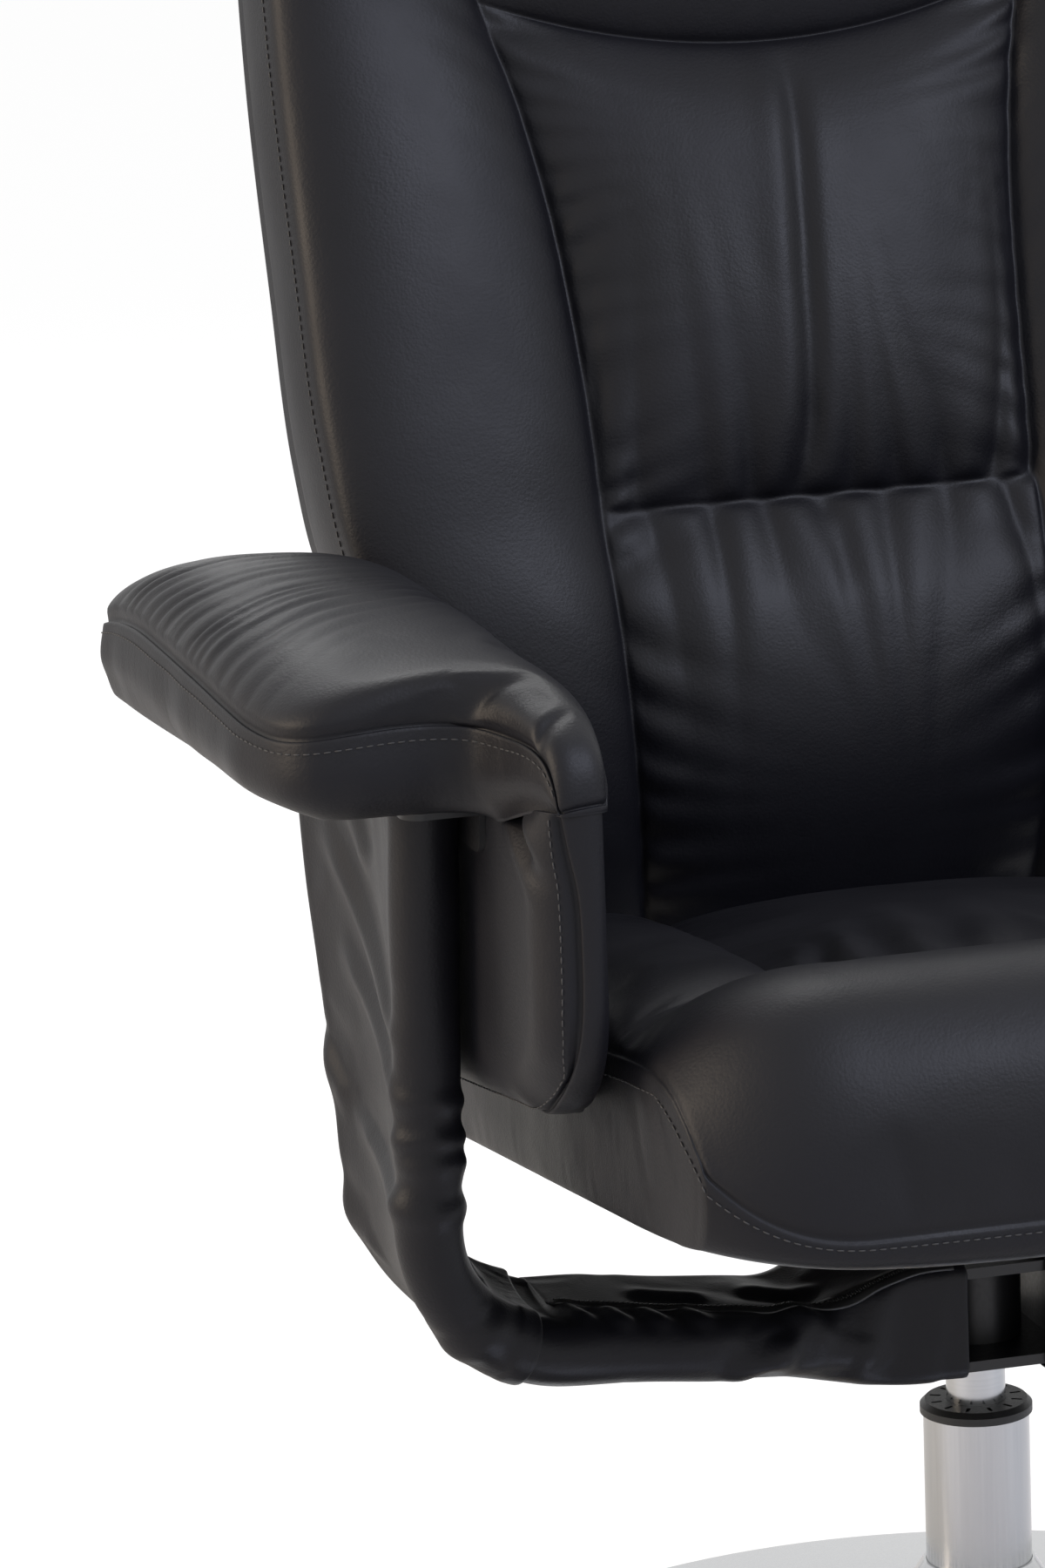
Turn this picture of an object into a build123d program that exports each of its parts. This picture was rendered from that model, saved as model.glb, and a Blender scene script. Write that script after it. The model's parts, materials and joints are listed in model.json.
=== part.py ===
import math
import os

from build123d import *

os.makedirs("parts", exist_ok=True)

# Frame of the chair: +Z up, the sitter faces -Y, the swivel axis is Z and the floor is z = 0.

# Fits
slip = 0.3              # gap between a soft piece and its neighbour
running = 0.05          # radial play of a shaft, pin or bolt in its hole
plate_gap = 0.5         # side play between the plates of the recline linkage

# Round base
base_r = 280.0
rim_h = 12.0            # height of the cover at its rim
rim_lift = 1.5          # rim edge above the floor
rim_round = 3.0
dome_rise = 16.0        # rim to apex of the shallow dome
cover_skin = 1.5
cover_neck_r = 40.0
underlay_t = 3.0
ballast_inset = 12.0    # ballast edge inside the rim
ballast_t = 6.0

# Column
tube_r = 25.0
tube_wall = 2.0
tube_top = 171.0
socket_wall = 5.0
socket_top = 78.0
socket_flange_r = 64.0
socket_flange_t = 6.0
socket_collar_r = 46.0
socket_bolt_r = 4.0
socket_bolt_head = 5.3
socket_bolt_head_r = 7.5
socket_bolt_circle_r = 54.0
bell_top = 98.0
bell_foot_r = 105.0
bell_mid = (55.0, 62.0)  # radius and height where the bell bends most
bell_skin = 1.2
bell_foot_lip = 1.8
bell_inset = 1.0        # how far the inner curve lies inside the outer one at the bend
shaft_r = 14.0
shaft_taper = 1.0       # radius lost over the hub
bush_flange_r = 26.5
bush_flange_t = 6.0
bush_depth = 50.0
bush_chamfer = 2.4
bush_slots = 12
bush_slot = (5.5, 1.8)
bush_slot_depth = 1.2
guide_z = 84.0
guide_h = 20.0
race_t = 4.0
race_bore_r = 8.0
race_play = 1.0         # radial room of the race that turns with the shaft

# Swivel frame of twin bent tubes
hub_z0 = 205.0
hub_h = 50.0
hub_half_x = 35.0
hub_half_y = 45.0
hub_plate = 5.0
hub_sleeve_r = 22.0
frame_tube_r = 12.5
frame_tube_wall = 1.8
cross_z = 218.0         # tube centre beside the hub
cross_rise = 9.0        # degrees, outward and up
upright_x = 283.3       # tube centre in the uprights
elbow_r = 75.0
tube_y = {"front": (-26.0, -80.0, -103.0), "rear": (26.0, -14.0, 77.0)}  # at hub, elbow and arm
sleeve_play = 1.5       # loose fit of the stitched sleeves
sleeve_wall = 1.6
sleeve_flat = 0.4       # flat width left between the rounded edges of a section
sleeve_hub_play = 2.0
sleeve_hem_x = 19.0     # where a cross sleeve ends over the hub
sleeve_waist_x = 112.0  # where the flare over the hub has run out

# Arms
arm_base_z = 518.0      # underside of the arm pad
panel_in = 234.0
panel_t = 30.0
panel_front = -222.0
panel_rear_top = 178.0
panel_rear_low = 200.0
panel_low_front_z = 396.0
panel_low_rear_z = 332.0
panel_round = (50.0, 26.0)  # lower corners of the outline: front and rear
panel_edge = 10.0       # soft edge between face and boxing
core_t = 12.0
core_inset = 15.0
board_t = 12.0
board_x = (238.0, 344.0)
board_y = (-96.0, 140.0)
board_round = 20.0
pad_inner = 229.0
pad_tuck = (6.0, 8.0)   # how far the underside is drawn in at the inner and the outer edge
pad_bulge = 0.5
# stations along the pad: y, outer x, height of the side band, crown above it
nose_stations = (
    (-222.0, 262.0, 16.0, 6.0),
    (-212.0, 264.0, 31.0, 12.0),
    (-190.0, 265.0, 41.0, 17.0),
    (-120.0, 266.0, 42.0, 24.0),
)
pad_stations = (
    (-150.0, 322.0, 30.0, 10.0),
    (-138.0, 340.0, 38.0, 22.0),
    (-105.0, 354.0, 39.0, 31.0),
    (-40.0, 360.0, 34.0, 37.0),
    (40.0, 362.0, 32.0, 38.0),
    (115.0, 356.0, 32.0, 32.0),
    (146.0, 340.0, 28.0, 22.0),
    (160.0, 318.0, 18.0, 10.0),
)
bracket_t = 3.0
bracket_flange_h = 21.0
bracket_flange_x = 300.0
bracket_y = (-138.0, 110.0)
bracket_round = 9.0
arm_bolt_r = 4.0
arm_bolt_head_r = 7.5
arm_bolt_head_h = 5.3
arm_bolt_y = (-45.0, 25.0)
arm_screw_r = 2.25
arm_screw_head_r = 4.5
arm_screw_len = 45.0
arm_screw_cone = 1.15   # depth of the head for each mm that it is wider than the shank
arm_screw_y = (-60.0, 20.0, 100.0)

# Seat, in a plane that falls to the rear
seat_tilt = 7.5
seat_z = 318.0          # underside of the seat above the swivel axis
seat_front = -304.0
seat_rear = 163.0
rail_t = 22.0
rail_w = (4.0, 72.0)
rail_front = -258.0
rail_rear = 157.0
rail_round = 25.0       # corners of the timber frame
cover_t = 3.2
web_w = 40.0            # top of the webbing
web_t = 2.0
web_width = 50.0
web_count = 6
dust_t = 1.5
dust_inset = 11.0       # dust cover inside the front and rear rails
side_seam_w = 70.0
bolster_w = 97.0
inner_seam_w = 86.0
centre_w = 94.0
# stations along the seat: v, share of the crown, half width of the centre panel
seat_stations = (
    (-250.0, 0.99, 138.0),
    (-110.0, 1.0, 128.0),
    (50.0, 0.97, 115.0),
    (seat_rear, 0.92, 104.0),
)
roll_top_w = 106.0
roll_back = -182.0
roll_belly = 20.0       # the roll hangs this far below the rails
roll_rear_drop = 16.0   # the roll falls this far from its top to the seat behind it
roll_nose = (14.0, 0.72)  # upper end of the front: setback and share of the height
roll_front_share = 0.4  # height of the foremost point
roll_foot = 18.0        # setback of the lower edge
# stations across the front roll: u, drop of its top, setback of its front, share of the belly
roll_stations = (
    (-220.0, 32.0, 30.0, 0.0),
    (-196.0, 9.0, 9.0, 0.45),
    (0.0, 0.0, 0.0, 1.0),
    (196.0, 9.0, 9.0, 0.45),
    (220.0, 32.0, 30.0, 0.0),
)

# Recline linkage
pivot_y = 160.0
pivot_z = 440.0
recline = 25.0
drive_arm = 105.0       # pivot to drive pin
side_plate_t = 3.0
side_strip_r = 16.0
side_ear_r = 20.0
runner_w = 60.0         # centre line of the runners above the seat's underside
runner_t = 3.5
runner_h = 24.0
runner_v = (-146.0, 150.0)
stud_r = 4.8
stud_play = 0.2
slot_over = 2.0         # length of a slot beyond the seat's travel
stud_v = (-95.0, 85.0)
glide_r = 10.0
drive_pin_r = 5.0
drive_pin_play = 0.8
link_t = 4.0
link_flange_x = 150.0
link_flange_z = (345.0, 440.0)
link_hole_r = 24.0
pivot_r = 5.0
pivot_head_r = 9.0
pivot_head_h = 5.0
pivot_head_round = 1.5
pivot_boss_r = 17.0
pin_boss_r = 13.0
washer_r = 14.0
washer_gap = 0.2
plate_screw_r = 2.5
plate_screw_head_r = 4.8
plate_screw_len = 16.0
plate_screw_v = (-160.0, -30.0, 112.0)
runner_screw_v = (-130.0, -20.0, 125.0)
runner_screw_len = 20.0
link_screw_r = 2.5
link_screw_head_r = 4.8
link_screw_head_h = 2.4
link_screw_head_taper = 25.0
link_screw_len = 13.0
link_screw_x = (168.0, 192.0)
link_screw_z = (362.0, 422.0)

# Back
back_y = 239.0          # front face of the back board where it is upright
back_z = 300.0
back_bend_z = 528.0     # corner of the bend before it is rounded
back_lean = 20.0
back_upper = 471.0      # length of the leaning part from that corner
back_bend_r = 400.0
back_board_t = 12.0
back_board_half = 234.0
back_link_gap = 22.5    # each side of the lower part, beside the links
back_shoulder_z = 540.0
back_board_round = 55.0
rear_pad_t = 9.0
rear_pad_z = 312.0
# stations up the cushion: distance along the board, half width, outer seam, half width of the
# inner panel, inner seam, crown of the bolster, crown of the inner panel
lumbar_stations = (
    (28.0, 196.0, 26.0, 92.0, 32.0, 6.0, 6.0),
    (85.0, 208.0, 44.0, 101.0, 52.0, 12.0, 12.0),
    (180.0, 216.0, 64.0, 108.0, 72.0, 15.0, 18.0),
    (260.0, 241.0, 63.0, 111.0, 49.0, 17.0, 3.0),
)
upper_stations = (
    (260.0, 241.0, 63.0, 111.0, 49.0, 17.0, 3.0),
    (300.0, 245.0, 62.0, 112.0, 52.0, 18.0, 14.0),
    (390.0, 246.0, 60.0, 116.0, 51.0, 19.0, 22.0),
    (500.0, 245.0, 58.0, 135.0, 45.0, 20.0, 3.0),
)
head_stations = (
    (500.0, 245.0, 58.0, 135.0, 45.0, 20.0, 3.0),
    (540.0, 243.0, 57.0, 140.0, 54.0, 18.0, 20.0),
    (620.0, 236.0, 50.0, 140.0, 54.0, 15.0, 22.0),
    (680.0, 222.0, 34.0, 132.0, 38.0, 11.0, 14.0),
    (702.0, 200.0, 14.0, 120.0, 16.0, 4.0, 4.0),
)

sides = {"left": -1, "right": 1}


def save(piece, name):
    piece.part.label = name
    export_step(piece.part, f"parts/{name}.step")


def both(make):
    # One group of the same small pieces on the left and on the right.
    with BuildPart() as pair:
        for s in sides.values():
            add(make(s).part)
    return pair


def dome_z(r):
    sphere_r = (base_r**2 + dome_rise**2) / (2 * dome_rise)
    return rim_h + dome_rise - sphere_r + math.sqrt(sphere_r**2 - r**2)


def ring(inner_r, outer_r, z0, z1):
    with BuildPart() as piece:
        with BuildSketch(Plane.XY.offset(z0)):
            Circle(outer_r)
            Circle(inner_r, mode=Mode.SUBTRACT)
        extrude(amount=z1 - z0)
    return piece


# Base: underlay, ballast, chromed cover, socket and bell

ballast_top = underlay_t + ballast_t
ballast_r = base_r - ballast_inset

with BuildPart() as base_underlay:
    with BuildSketch():
        Circle(ballast_r)
    extrude(amount=underlay_t)
save(base_underlay, "base_underlay")

with BuildPart() as base_ballast:
    with BuildSketch(Plane.XY.offset(underlay_t)):
        Circle(ballast_r)
        with PolarLocations(socket_bolt_circle_r, 4):
            Circle(socket_bolt_r + running, mode=Mode.SUBTRACT)
    extrude(amount=ballast_t)
save(base_ballast, "base_ballast")

with BuildPart() as base_cover:
    with BuildSketch(Plane.XZ):
        with BuildLine():
            round_r = base_r - rim_round
            mid_r = (round_r + cover_neck_r) / 2
            inner_r = base_r - cover_skin
            Line((base_r, rim_lift), (base_r, rim_h - rim_round))
            Line((base_r, rim_h - rim_round), (round_r, dome_z(round_r)))
            neck_z = dome_z(cover_neck_r)
            ThreePointArc((round_r, dome_z(round_r)), (mid_r, dome_z(mid_r)), (cover_neck_r, neck_z))
            Line((cover_neck_r, neck_z), (cover_neck_r, neck_z - cover_skin))
            ThreePointArc(
                (cover_neck_r, neck_z - cover_skin),
                (mid_r, dome_z(mid_r) - cover_skin),
                (inner_r - rim_round, dome_z(round_r) - cover_skin),
            )
            Line((inner_r - rim_round, dome_z(round_r) - cover_skin), (inner_r, rim_h - rim_round))
            Line((inner_r, rim_h - rim_round), (inner_r, rim_lift))
            Line((inner_r, rim_lift), (base_r, rim_lift))
        make_face()
    revolve(axis=Axis.Z)
save(base_cover, "base_cover")

with BuildPart() as column_socket:
    bore_r = tube_r + running
    outer_r = bore_r + socket_wall
    collar_top = dome_z(socket_collar_r) - cover_skin
    flange_top = ballast_top + socket_flange_t
    with BuildSketch(Plane.XZ):
        with BuildLine():
            Polyline(
                (bore_r, ballast_top),
                (socket_flange_r, ballast_top),
                (socket_flange_r, flange_top),
                (outer_r + socket_wall, flange_top),
                (socket_collar_r, collar_top - socket_wall),
                (socket_collar_r, collar_top),
                (outer_r, collar_top),
                (outer_r, socket_top),
                (bore_r, socket_top),
                close=True,
            )
        make_face()
    revolve(axis=Axis.Z)
    with BuildSketch(Plane.XY.offset(ballast_top)):
        with PolarLocations(socket_bolt_circle_r, 4):
            Circle(socket_bolt_r + running)
    extrude(amount=socket_flange_t, mode=Mode.SUBTRACT)
save(column_socket, "column_socket")

with BuildPart() as socket_bolts:
    with BuildSketch(Plane.XY.offset(flange_top)):
        with PolarLocations(socket_bolt_circle_r, 4):
            RegularPolygon(socket_bolt_head_r, 6)
    extrude(amount=socket_bolt_head)
    with BuildSketch(Plane.XY.offset(underlay_t)):
        with PolarLocations(socket_bolt_circle_r, 4):
            Circle(socket_bolt_r)
    extrude(amount=flange_top - underlay_t)
save(socket_bolts, "socket_bolts")

with BuildPart() as column_bell:
    bell_neck = tube_r + 4 * running
    foot_in = bell_foot_r - bell_foot_lip
    with BuildSketch(Plane.XZ):
        with BuildLine():
            seat_lift = running
            ThreePointArc(
                (bell_neck + bell_skin, bell_top), bell_mid, (bell_foot_r, dome_z(bell_foot_r) + seat_lift)
            )
            Line((bell_foot_r, dome_z(bell_foot_r) + seat_lift), (foot_in, dome_z(foot_in) + seat_lift))
            ThreePointArc(
                (foot_in, dome_z(foot_in) + seat_lift),
                (bell_mid[0] - bell_inset, bell_mid[1] - bell_inset),
                (bell_neck, bell_top),
            )
            Line((bell_neck, bell_top), (bell_neck + bell_skin, bell_top))
        make_face()
    revolve(axis=Axis.Z)
save(column_bell, "column_bell")

save(ring(tube_r - tube_wall, tube_r, ballast_top, tube_top), "column_tube")

tube_bore = tube_r - tube_wall - running
shaft_bore = shaft_r + running
with BuildPart() as column_bush:
    with BuildSketch(Plane.XZ):
        with BuildLine():
            Polyline(
                (shaft_bore, tube_top - bush_depth),
                (tube_bore, tube_top - bush_depth),
                (tube_bore, tube_top),
                (bush_flange_r, tube_top),
                (bush_flange_r, tube_top + bush_flange_t - bush_chamfer),
                (bush_flange_r - bush_chamfer, tube_top + bush_flange_t),
                (shaft_bore, tube_top + bush_flange_t),
                close=True,
            )
        make_face()
    revolve(axis=Axis.Z)
    with BuildSketch(Plane.XY.offset(tube_top + bush_flange_t)):
        with PolarLocations((shaft_r + tube_r) / 2, bush_slots):
            SlotOverall(*bush_slot)
    extrude(amount=-bush_slot_depth, mode=Mode.SUBTRACT)
save(column_bush, "column_bush")

save(ring(shaft_bore, tube_bore, guide_z, guide_z + guide_h), "guide_bush")

race_top = ballast_top + race_t
save(ring(race_bore_r, tube_bore, ballast_top, race_top), "thrust_race")
save(ring(race_bore_r + race_t, tube_bore - race_t, race_top, race_top + race_t), "thrust_cage")

# Swivel: cap race, shaft, hub and the bent tubes

shaft_z0 = race_top + 2 * race_t
save(ring(race_bore_r, tube_bore - race_play, race_top + race_t, shaft_z0), "thrust_cap")

hub_top = hub_z0 + hub_h
with BuildPart() as swivel_shaft:
    with BuildSketch(Plane.XZ):
        with BuildLine():
            Polyline(
                (0, shaft_z0),
                (shaft_r, shaft_z0),
                (shaft_r, hub_z0),
                (shaft_r - shaft_taper, hub_top),
                (0, hub_top),
                close=True,
            )
        make_face()
    revolve(axis=Axis.Z)
save(swivel_shaft, "swivel_shaft")

with BuildPart() as frame_hub:
    with BuildSketch(Plane.XZ):
        Rectangle(2 * hub_half_x, hub_h, align=(Align.CENTER, Align.MIN))
    extrude(amount=hub_half_y, both=True)
    with BuildSketch(Plane.XZ):
        with Locations((0, hub_plate)):
            inside = (2 * (hub_half_x - hub_plate), hub_h - 2 * hub_plate)
            Rectangle(*inside, align=(Align.CENTER, Align.MIN))
    extrude(amount=hub_half_y, both=True, mode=Mode.SUBTRACT)
    with BuildSketch():
        Circle(hub_sleeve_r)
    extrude(amount=hub_h)
    with BuildSketch(Plane.XZ):
        with BuildLine():
            Polyline(
                (0, 0),
                (shaft_bore, 0),
                (shaft_bore - shaft_taper, hub_h),
                (0, hub_h),
                close=True,
            )
        make_face()
    revolve(axis=Axis.Z, mode=Mode.SUBTRACT)
frame_hub.part.locate(Location((0, 0, hub_z0)))
save(frame_hub, "frame_hub")


def tube_corners(which, s):
    y_hub, y_elbow, y_arm = tube_y[which]
    rise = math.tan(math.radians(cross_rise))
    start_x = hub_sleeve_r
    elbow = Vector(s * upright_x, y_elbow, cross_z + rise * (upright_x - hub_half_x))
    start = Vector(s * start_x, y_hub, cross_z + rise * (start_x - hub_half_x))
    return start, elbow, Vector(s * upright_x, y_arm, arm_base_z - bracket_t)


def tube_point(which, s, turn):
    # Centre of a tube in its elbow: turn 0 is where the bend starts, 1 where it ends.
    start, elbow, top = tube_corners(which, s)
    inward = (start - elbow).normalized()
    upward = (top - elbow).normalized()
    half = math.radians(180 - inward.get_angle(upward)) / 2
    reach = elbow_r * math.tan(half)
    first = elbow + inward * reach
    centre = elbow + (inward + upward).normalized() * (elbow_r / math.cos(half))
    side = (first - centre).normalized()
    ahead = inward * -1
    swing = 2 * half * turn
    point = centre + side * (elbow_r * math.cos(swing)) + ahead * (elbow_r * math.sin(swing))
    tangent = ahead * math.cos(swing) - side * math.sin(swing)
    return point, tangent


def frame_tube(which, s):
    start, elbow, top = tube_corners(which, s)
    beyond = top + (top - elbow).normalized() * frame_tube_r
    with BuildPart() as piece:
        with BuildLine() as path:
            FilletPolyline(start, elbow, beyond, radius=elbow_r)
        with BuildSketch(Plane(origin=start, z_dir=elbow - start)):
            Circle(frame_tube_r)
            Circle(frame_tube_r - frame_tube_wall, mode=Mode.SUBTRACT)
        sweep(path=path.line)
        hub_face = Plane(origin=(s * hub_half_x, 0, 0), z_dir=(s, 0, 0))
        split(bisect_by=hub_face, keep=Keep.TOP)
        split(bisect_by=Plane.XY.offset(arm_base_z - bracket_t), keep=Keep.BOTTOM)
    return piece


def between_tubes(front, rear, tangent, play):
    # Rounded section that wraps a front and a rear tube.
    span = rear - front
    middle = front + span * 0.5
    across = span - tangent * span.dot(tangent)
    plane = Plane(origin=middle, x_dir=across, z_dir=tangent)
    radius = frame_tube_r + play
    with BuildSketch(plane) as section:
        RectangleRounded(span.length + 2 * radius, 2 * radius + sleeve_flat, radius)
    return section.sketch


def straight_point(which, s, x):
    start, elbow, top = tube_corners(which, s)
    share = (x - abs(start.X)) / (upright_x - abs(start.X))
    return start + (elbow - start) * share


def cross_runs(s, play):
    hub_play = sleeve_hub_play + play - sleeve_play
    sections = []
    for x in (sleeve_hem_x, hub_half_x + 2 * sleeve_hub_play):
        plane = Plane(origin=(s * x, 0, hub_z0 + hub_h / 2), x_dir=(0, 1, 0), z_dir=(s, 0, 0))
        with BuildSketch(plane) as section:
            RectangleRounded(2 * (hub_half_y + hub_play), hub_h + 2 * hub_play, sleeve_hub_play + hub_play)
        sections.append(section.sketch)
    front = straight_point("front", s, sleeve_waist_x)
    rear = straight_point("rear", s, sleeve_waist_x)
    start, elbow, top = tube_corners("front", s)
    sections.append(between_tubes(front, rear, (elbow - start).normalized(), play))
    front, front_way = tube_point("front", s, 0)
    rear, rear_way = tube_point("rear", s, 0)
    way = (front_way + rear_way).normalized()
    sections.append(between_tubes(front - way * slip, rear - way * slip, way, play))
    return [(sections, True)]


def upright_runs(s, play):
    sections = []
    for turn in (0, 0.25, 0.5, 0.75, 1):
        front, front_way = tube_point("front", s, turn)
        rear, rear_way = tube_point("rear", s, turn)
        sections.append(between_tubes(front, rear, (front_way + rear_way).normalized(), play))
    front_top = tube_corners("front", s)[2]
    rear_top = tube_corners("rear", s)[2]
    drop = Vector(0, 0, -slip)
    top_section = between_tubes(front_top + drop, rear_top + drop, Vector(0, 0, 1), play)
    return [(sections, False), ([sections[-1], top_section], True)]


def sleeve(runs, s):
    with BuildPart() as piece:
        for sections, straight in runs(s, sleeve_play + sleeve_wall):
            loft(sections=sections, ruled=straight)
        for sections, straight in runs(s, sleeve_play):
            loft(sections=sections, ruled=straight, mode=Mode.SUBTRACT)
    return piece


for side, s in sides.items():
    save(frame_tube("front", s), f"front_tube_{side}")
    save(frame_tube("rear", s), f"rear_tube_{side}")
    save(sleeve(cross_runs, s), f"cross_sleeve_{side}")
    save(sleeve(upright_runs, s), f"upright_sleeve_{side}")

# Arms: bracket, top board, core, upholstered panel and pad

panel_out = panel_in + panel_t


def arm_bracket(s):
    with BuildPart() as piece:
        with BuildSketch(Plane.YZ.offset(s * panel_out)):
            with Locations(((bracket_y[0] + bracket_y[1]) / 2, arm_base_z)):
                Rectangle(bracket_y[1] - bracket_y[0], bracket_flange_h, align=(Align.CENTER, Align.MAX))
        extrude(amount=s * bracket_t)
        low_edges = piece.edges().filter_by(Axis.X).group_by(Axis.Z)[0]
        fillet(low_edges, bracket_round)
        with BuildSketch(Plane.XY.offset(arm_base_z - bracket_t)):
            with Locations((s * (panel_out + bracket_flange_x) / 2, (bracket_y[0] + bracket_y[1]) / 2)):
                Rectangle(bracket_flange_x - panel_out, bracket_y[1] - bracket_y[0])
            for y in arm_bolt_y:
                with Locations((s * upright_x, y)):
                    Circle(arm_bolt_r + running, mode=Mode.SUBTRACT)
        extrude(amount=bracket_t)
        far_edges = piece.edges().filter_by(Axis.Z).sort_by(Axis.X)
        fillet(far_edges[-2:] if s > 0 else far_edges[:2], bracket_round)
    return piece


def panel_outline(x, inset, top):
    # Side view of the arm panel, drawn in y and z.
    front = panel_front + inset
    low_slope = (panel_low_rear_z - panel_low_front_z) / (panel_rear_low - panel_front)
    rear_slope = (panel_rear_low - panel_rear_top) / (arm_base_z - panel_low_rear_z)
    rear_low = panel_rear_low - inset
    rear_top = rear_low - rear_slope * (top - panel_low_rear_z)
    with BuildSketch(Plane.YZ.offset(x)) as outline:
        with BuildLine():
            Polyline(
                (front, top),
                (front, panel_low_front_z + inset * (1 + low_slope)),
                (rear_low, panel_low_rear_z + inset * (1 - low_slope)),
                (rear_top, top),
                close=True,
            )
        make_face()
        rear_corner = outline.vertices().sort_by(Axis.Y)[0]
        fillet(rear_corner, panel_round[1] - inset)
        front_corner = outline.vertices().sort_by(Axis.X)[:2].sort_by(Axis.Y)[0]
        fillet(front_corner, panel_round[0] - inset)
    return outline.sketch


def arm_core(s):
    with BuildPart() as piece:
        core_x = s * (panel_in + panel_t / 2 - core_t / 2)
        extrude(panel_outline(core_x, core_inset, arm_base_z), amount=s * core_t)
        for y in arm_screw_y:
            with Locations((s * (panel_in + panel_t / 2), y, arm_base_z)):
                Cylinder(
                    arm_screw_r + running,
                    2 * (arm_screw_len - board_t),
                    mode=Mode.SUBTRACT,
                )
        with BuildSketch(side_plane(s, panel_in)):
            with Locations(*[(v, runner_w) for v in plate_screw_v]):
                Circle(plate_screw_r + running)
        extrude(amount=s * plate_screw_len, mode=Mode.SUBTRACT)
    return piece


def side_plane(s, x):
    # Plane parallel to the arm panels whose axes run rearward along the seat and up from it.
    tilt = math.radians(seat_tilt)
    return Plane(origin=(s * x, 0, seat_z), x_dir=(0, math.cos(tilt), -math.sin(tilt)), z_dir=(1, 0, 0))


def arm_panel(s):
    with BuildPart() as piece:
        extrude(panel_outline(s * panel_in, 0, arm_base_z - slip), amount=s * panel_t)
        inner = piece.faces().filter_by(Axis.X).sort_by(Axis.X)
        rim = inner[0].edges() + inner[-1].edges()
        fillet(rim.filter_by(lambda e: e.center().Z < arm_base_z - panel_edge), panel_edge)
        pocket_x = s * (panel_in + panel_t / 2 - core_t / 2 - slip)
        pocket = panel_outline(pocket_x, core_inset - slip, arm_base_z)
        extrude(pocket, amount=s * (core_t + 2 * slip), mode=Mode.SUBTRACT)
        with BuildSketch(side_plane(s, panel_in)):
            with Locations(*[(v, runner_w) for v in plate_screw_v]):
                Circle(plate_screw_r + slip)
        extrude(amount=s * panel_t / 2, mode=Mode.SUBTRACT)
    return piece


def arm_board(s):
    width = board_x[1] - board_x[0]
    length = board_y[1] - board_y[0]
    with BuildPart() as piece:
        with BuildSketch(Plane.XY.offset(arm_base_z)):
            with Locations((s * sum(board_x) / 2, sum(board_y) / 2)):
                RectangleRounded(width, length, board_round)
            for y in arm_bolt_y:
                with Locations((s * upright_x, y)):
                    Circle(arm_bolt_r + running, mode=Mode.SUBTRACT)
        extrude(amount=board_t)
        for y in arm_screw_y:
            with Locations((s * (panel_in + panel_t / 2), y, arm_base_z + board_t)):
                CounterSinkHole(arm_screw_r + running, arm_screw_head_r + running, depth=board_t)
    return piece


def arm_screws(s):
    x = s * (panel_in + panel_t / 2)
    with BuildPart() as piece:
        for y in arm_screw_y:
            with BuildSketch(Plane(origin=(x, y, 0), x_dir=(1, 0, 0), z_dir=(0, -1, 0))):
                with BuildLine():
                    top = arm_base_z + board_t
                    Polyline(
                        (0, top),
                        (arm_screw_head_r, top),
                        (arm_screw_r, top - (arm_screw_head_r - arm_screw_r) * arm_screw_cone),
                        (arm_screw_r, top - arm_screw_len + 2 * arm_screw_r),
                        (0, top - arm_screw_len),
                        close=True,
                    )
                make_face()
            revolve(axis=Axis((x, y, 0), (0, 0, 1)))
    return piece


def arm_bolts(s):
    seat_z_bolt = arm_base_z - bracket_t
    with BuildPart() as piece:
        with BuildSketch(Plane.XY.offset(seat_z_bolt)):
            with Locations(*[(s * upright_x, y) for y in arm_bolt_y]):
                RegularPolygon(arm_bolt_head_r, 6)
        extrude(amount=-arm_bolt_head_h)
        with BuildSketch(Plane.XY.offset(seat_z_bolt)):
            with Locations(*[(s * upright_x, y) for y in arm_bolt_y]):
                Circle(arm_bolt_r)
        extrude(amount=bracket_t + board_t)
    return piece


def pad_section(s, y, outer, band, crown):
    # Cross section of the arm pad: boxed sides under a crowned top.
    base = arm_base_z + slip
    middle = (pad_inner + outer) / 2
    half_band = base + band / 2
    low_in = (s * (pad_inner + pad_tuck[0]), base)
    low_out = (s * (outer - pad_tuck[1]), base)
    seam_in = (s * pad_inner, base + band)
    seam_out = (s * outer, base + band)
    with BuildSketch(Plane(origin=(0, y, 0), x_dir=(1, 0, 0), z_dir=(0, -1, 0))) as section:
        with BuildLine():
            Line(low_in, low_out)
            ThreePointArc(low_out, (s * (outer - pad_bulge), half_band), seam_out)
            ThreePointArc(seam_out, (s * middle, base + band + crown), seam_in)
            ThreePointArc(seam_in, (s * (pad_inner + pad_bulge), half_band), low_in)
        make_face()
    return section.sketch


def arm_pad(s):
    with BuildPart() as piece:
        for stations in (nose_stations, pad_stations):
            loft(sections=[pad_section(s, *station) for station in stations])
        with BuildSketch(Plane.XY.offset(arm_base_z)):
            with Locations((s * sum(board_x) / 2, sum(board_y) / 2)):
                width = board_x[1] - board_x[0] + 2 * slip
                length = board_y[1] - board_y[0] + 2 * slip
                RectangleRounded(width, length, board_round + slip)
        extrude(amount=board_t + slip, mode=Mode.SUBTRACT)
    return piece


for side, s in sides.items():
    save(arm_bracket(s), f"arm_bracket_{side}")
    save(arm_core(s), f"arm_core_{side}")
    save(arm_panel(s), f"arm_panel_{side}")
    save(arm_board(s), f"arm_board_{side}")
    save(arm_pad(s), f"arm_pad_{side}")
save(both(arm_bolts), "arm_bolts")
save(both(arm_screws), "arm_screws")

# Recline linkage: the drive pin starts half the recline angle behind the pivot, so that its
# arc keeps to the line on which the seat slides

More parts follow.
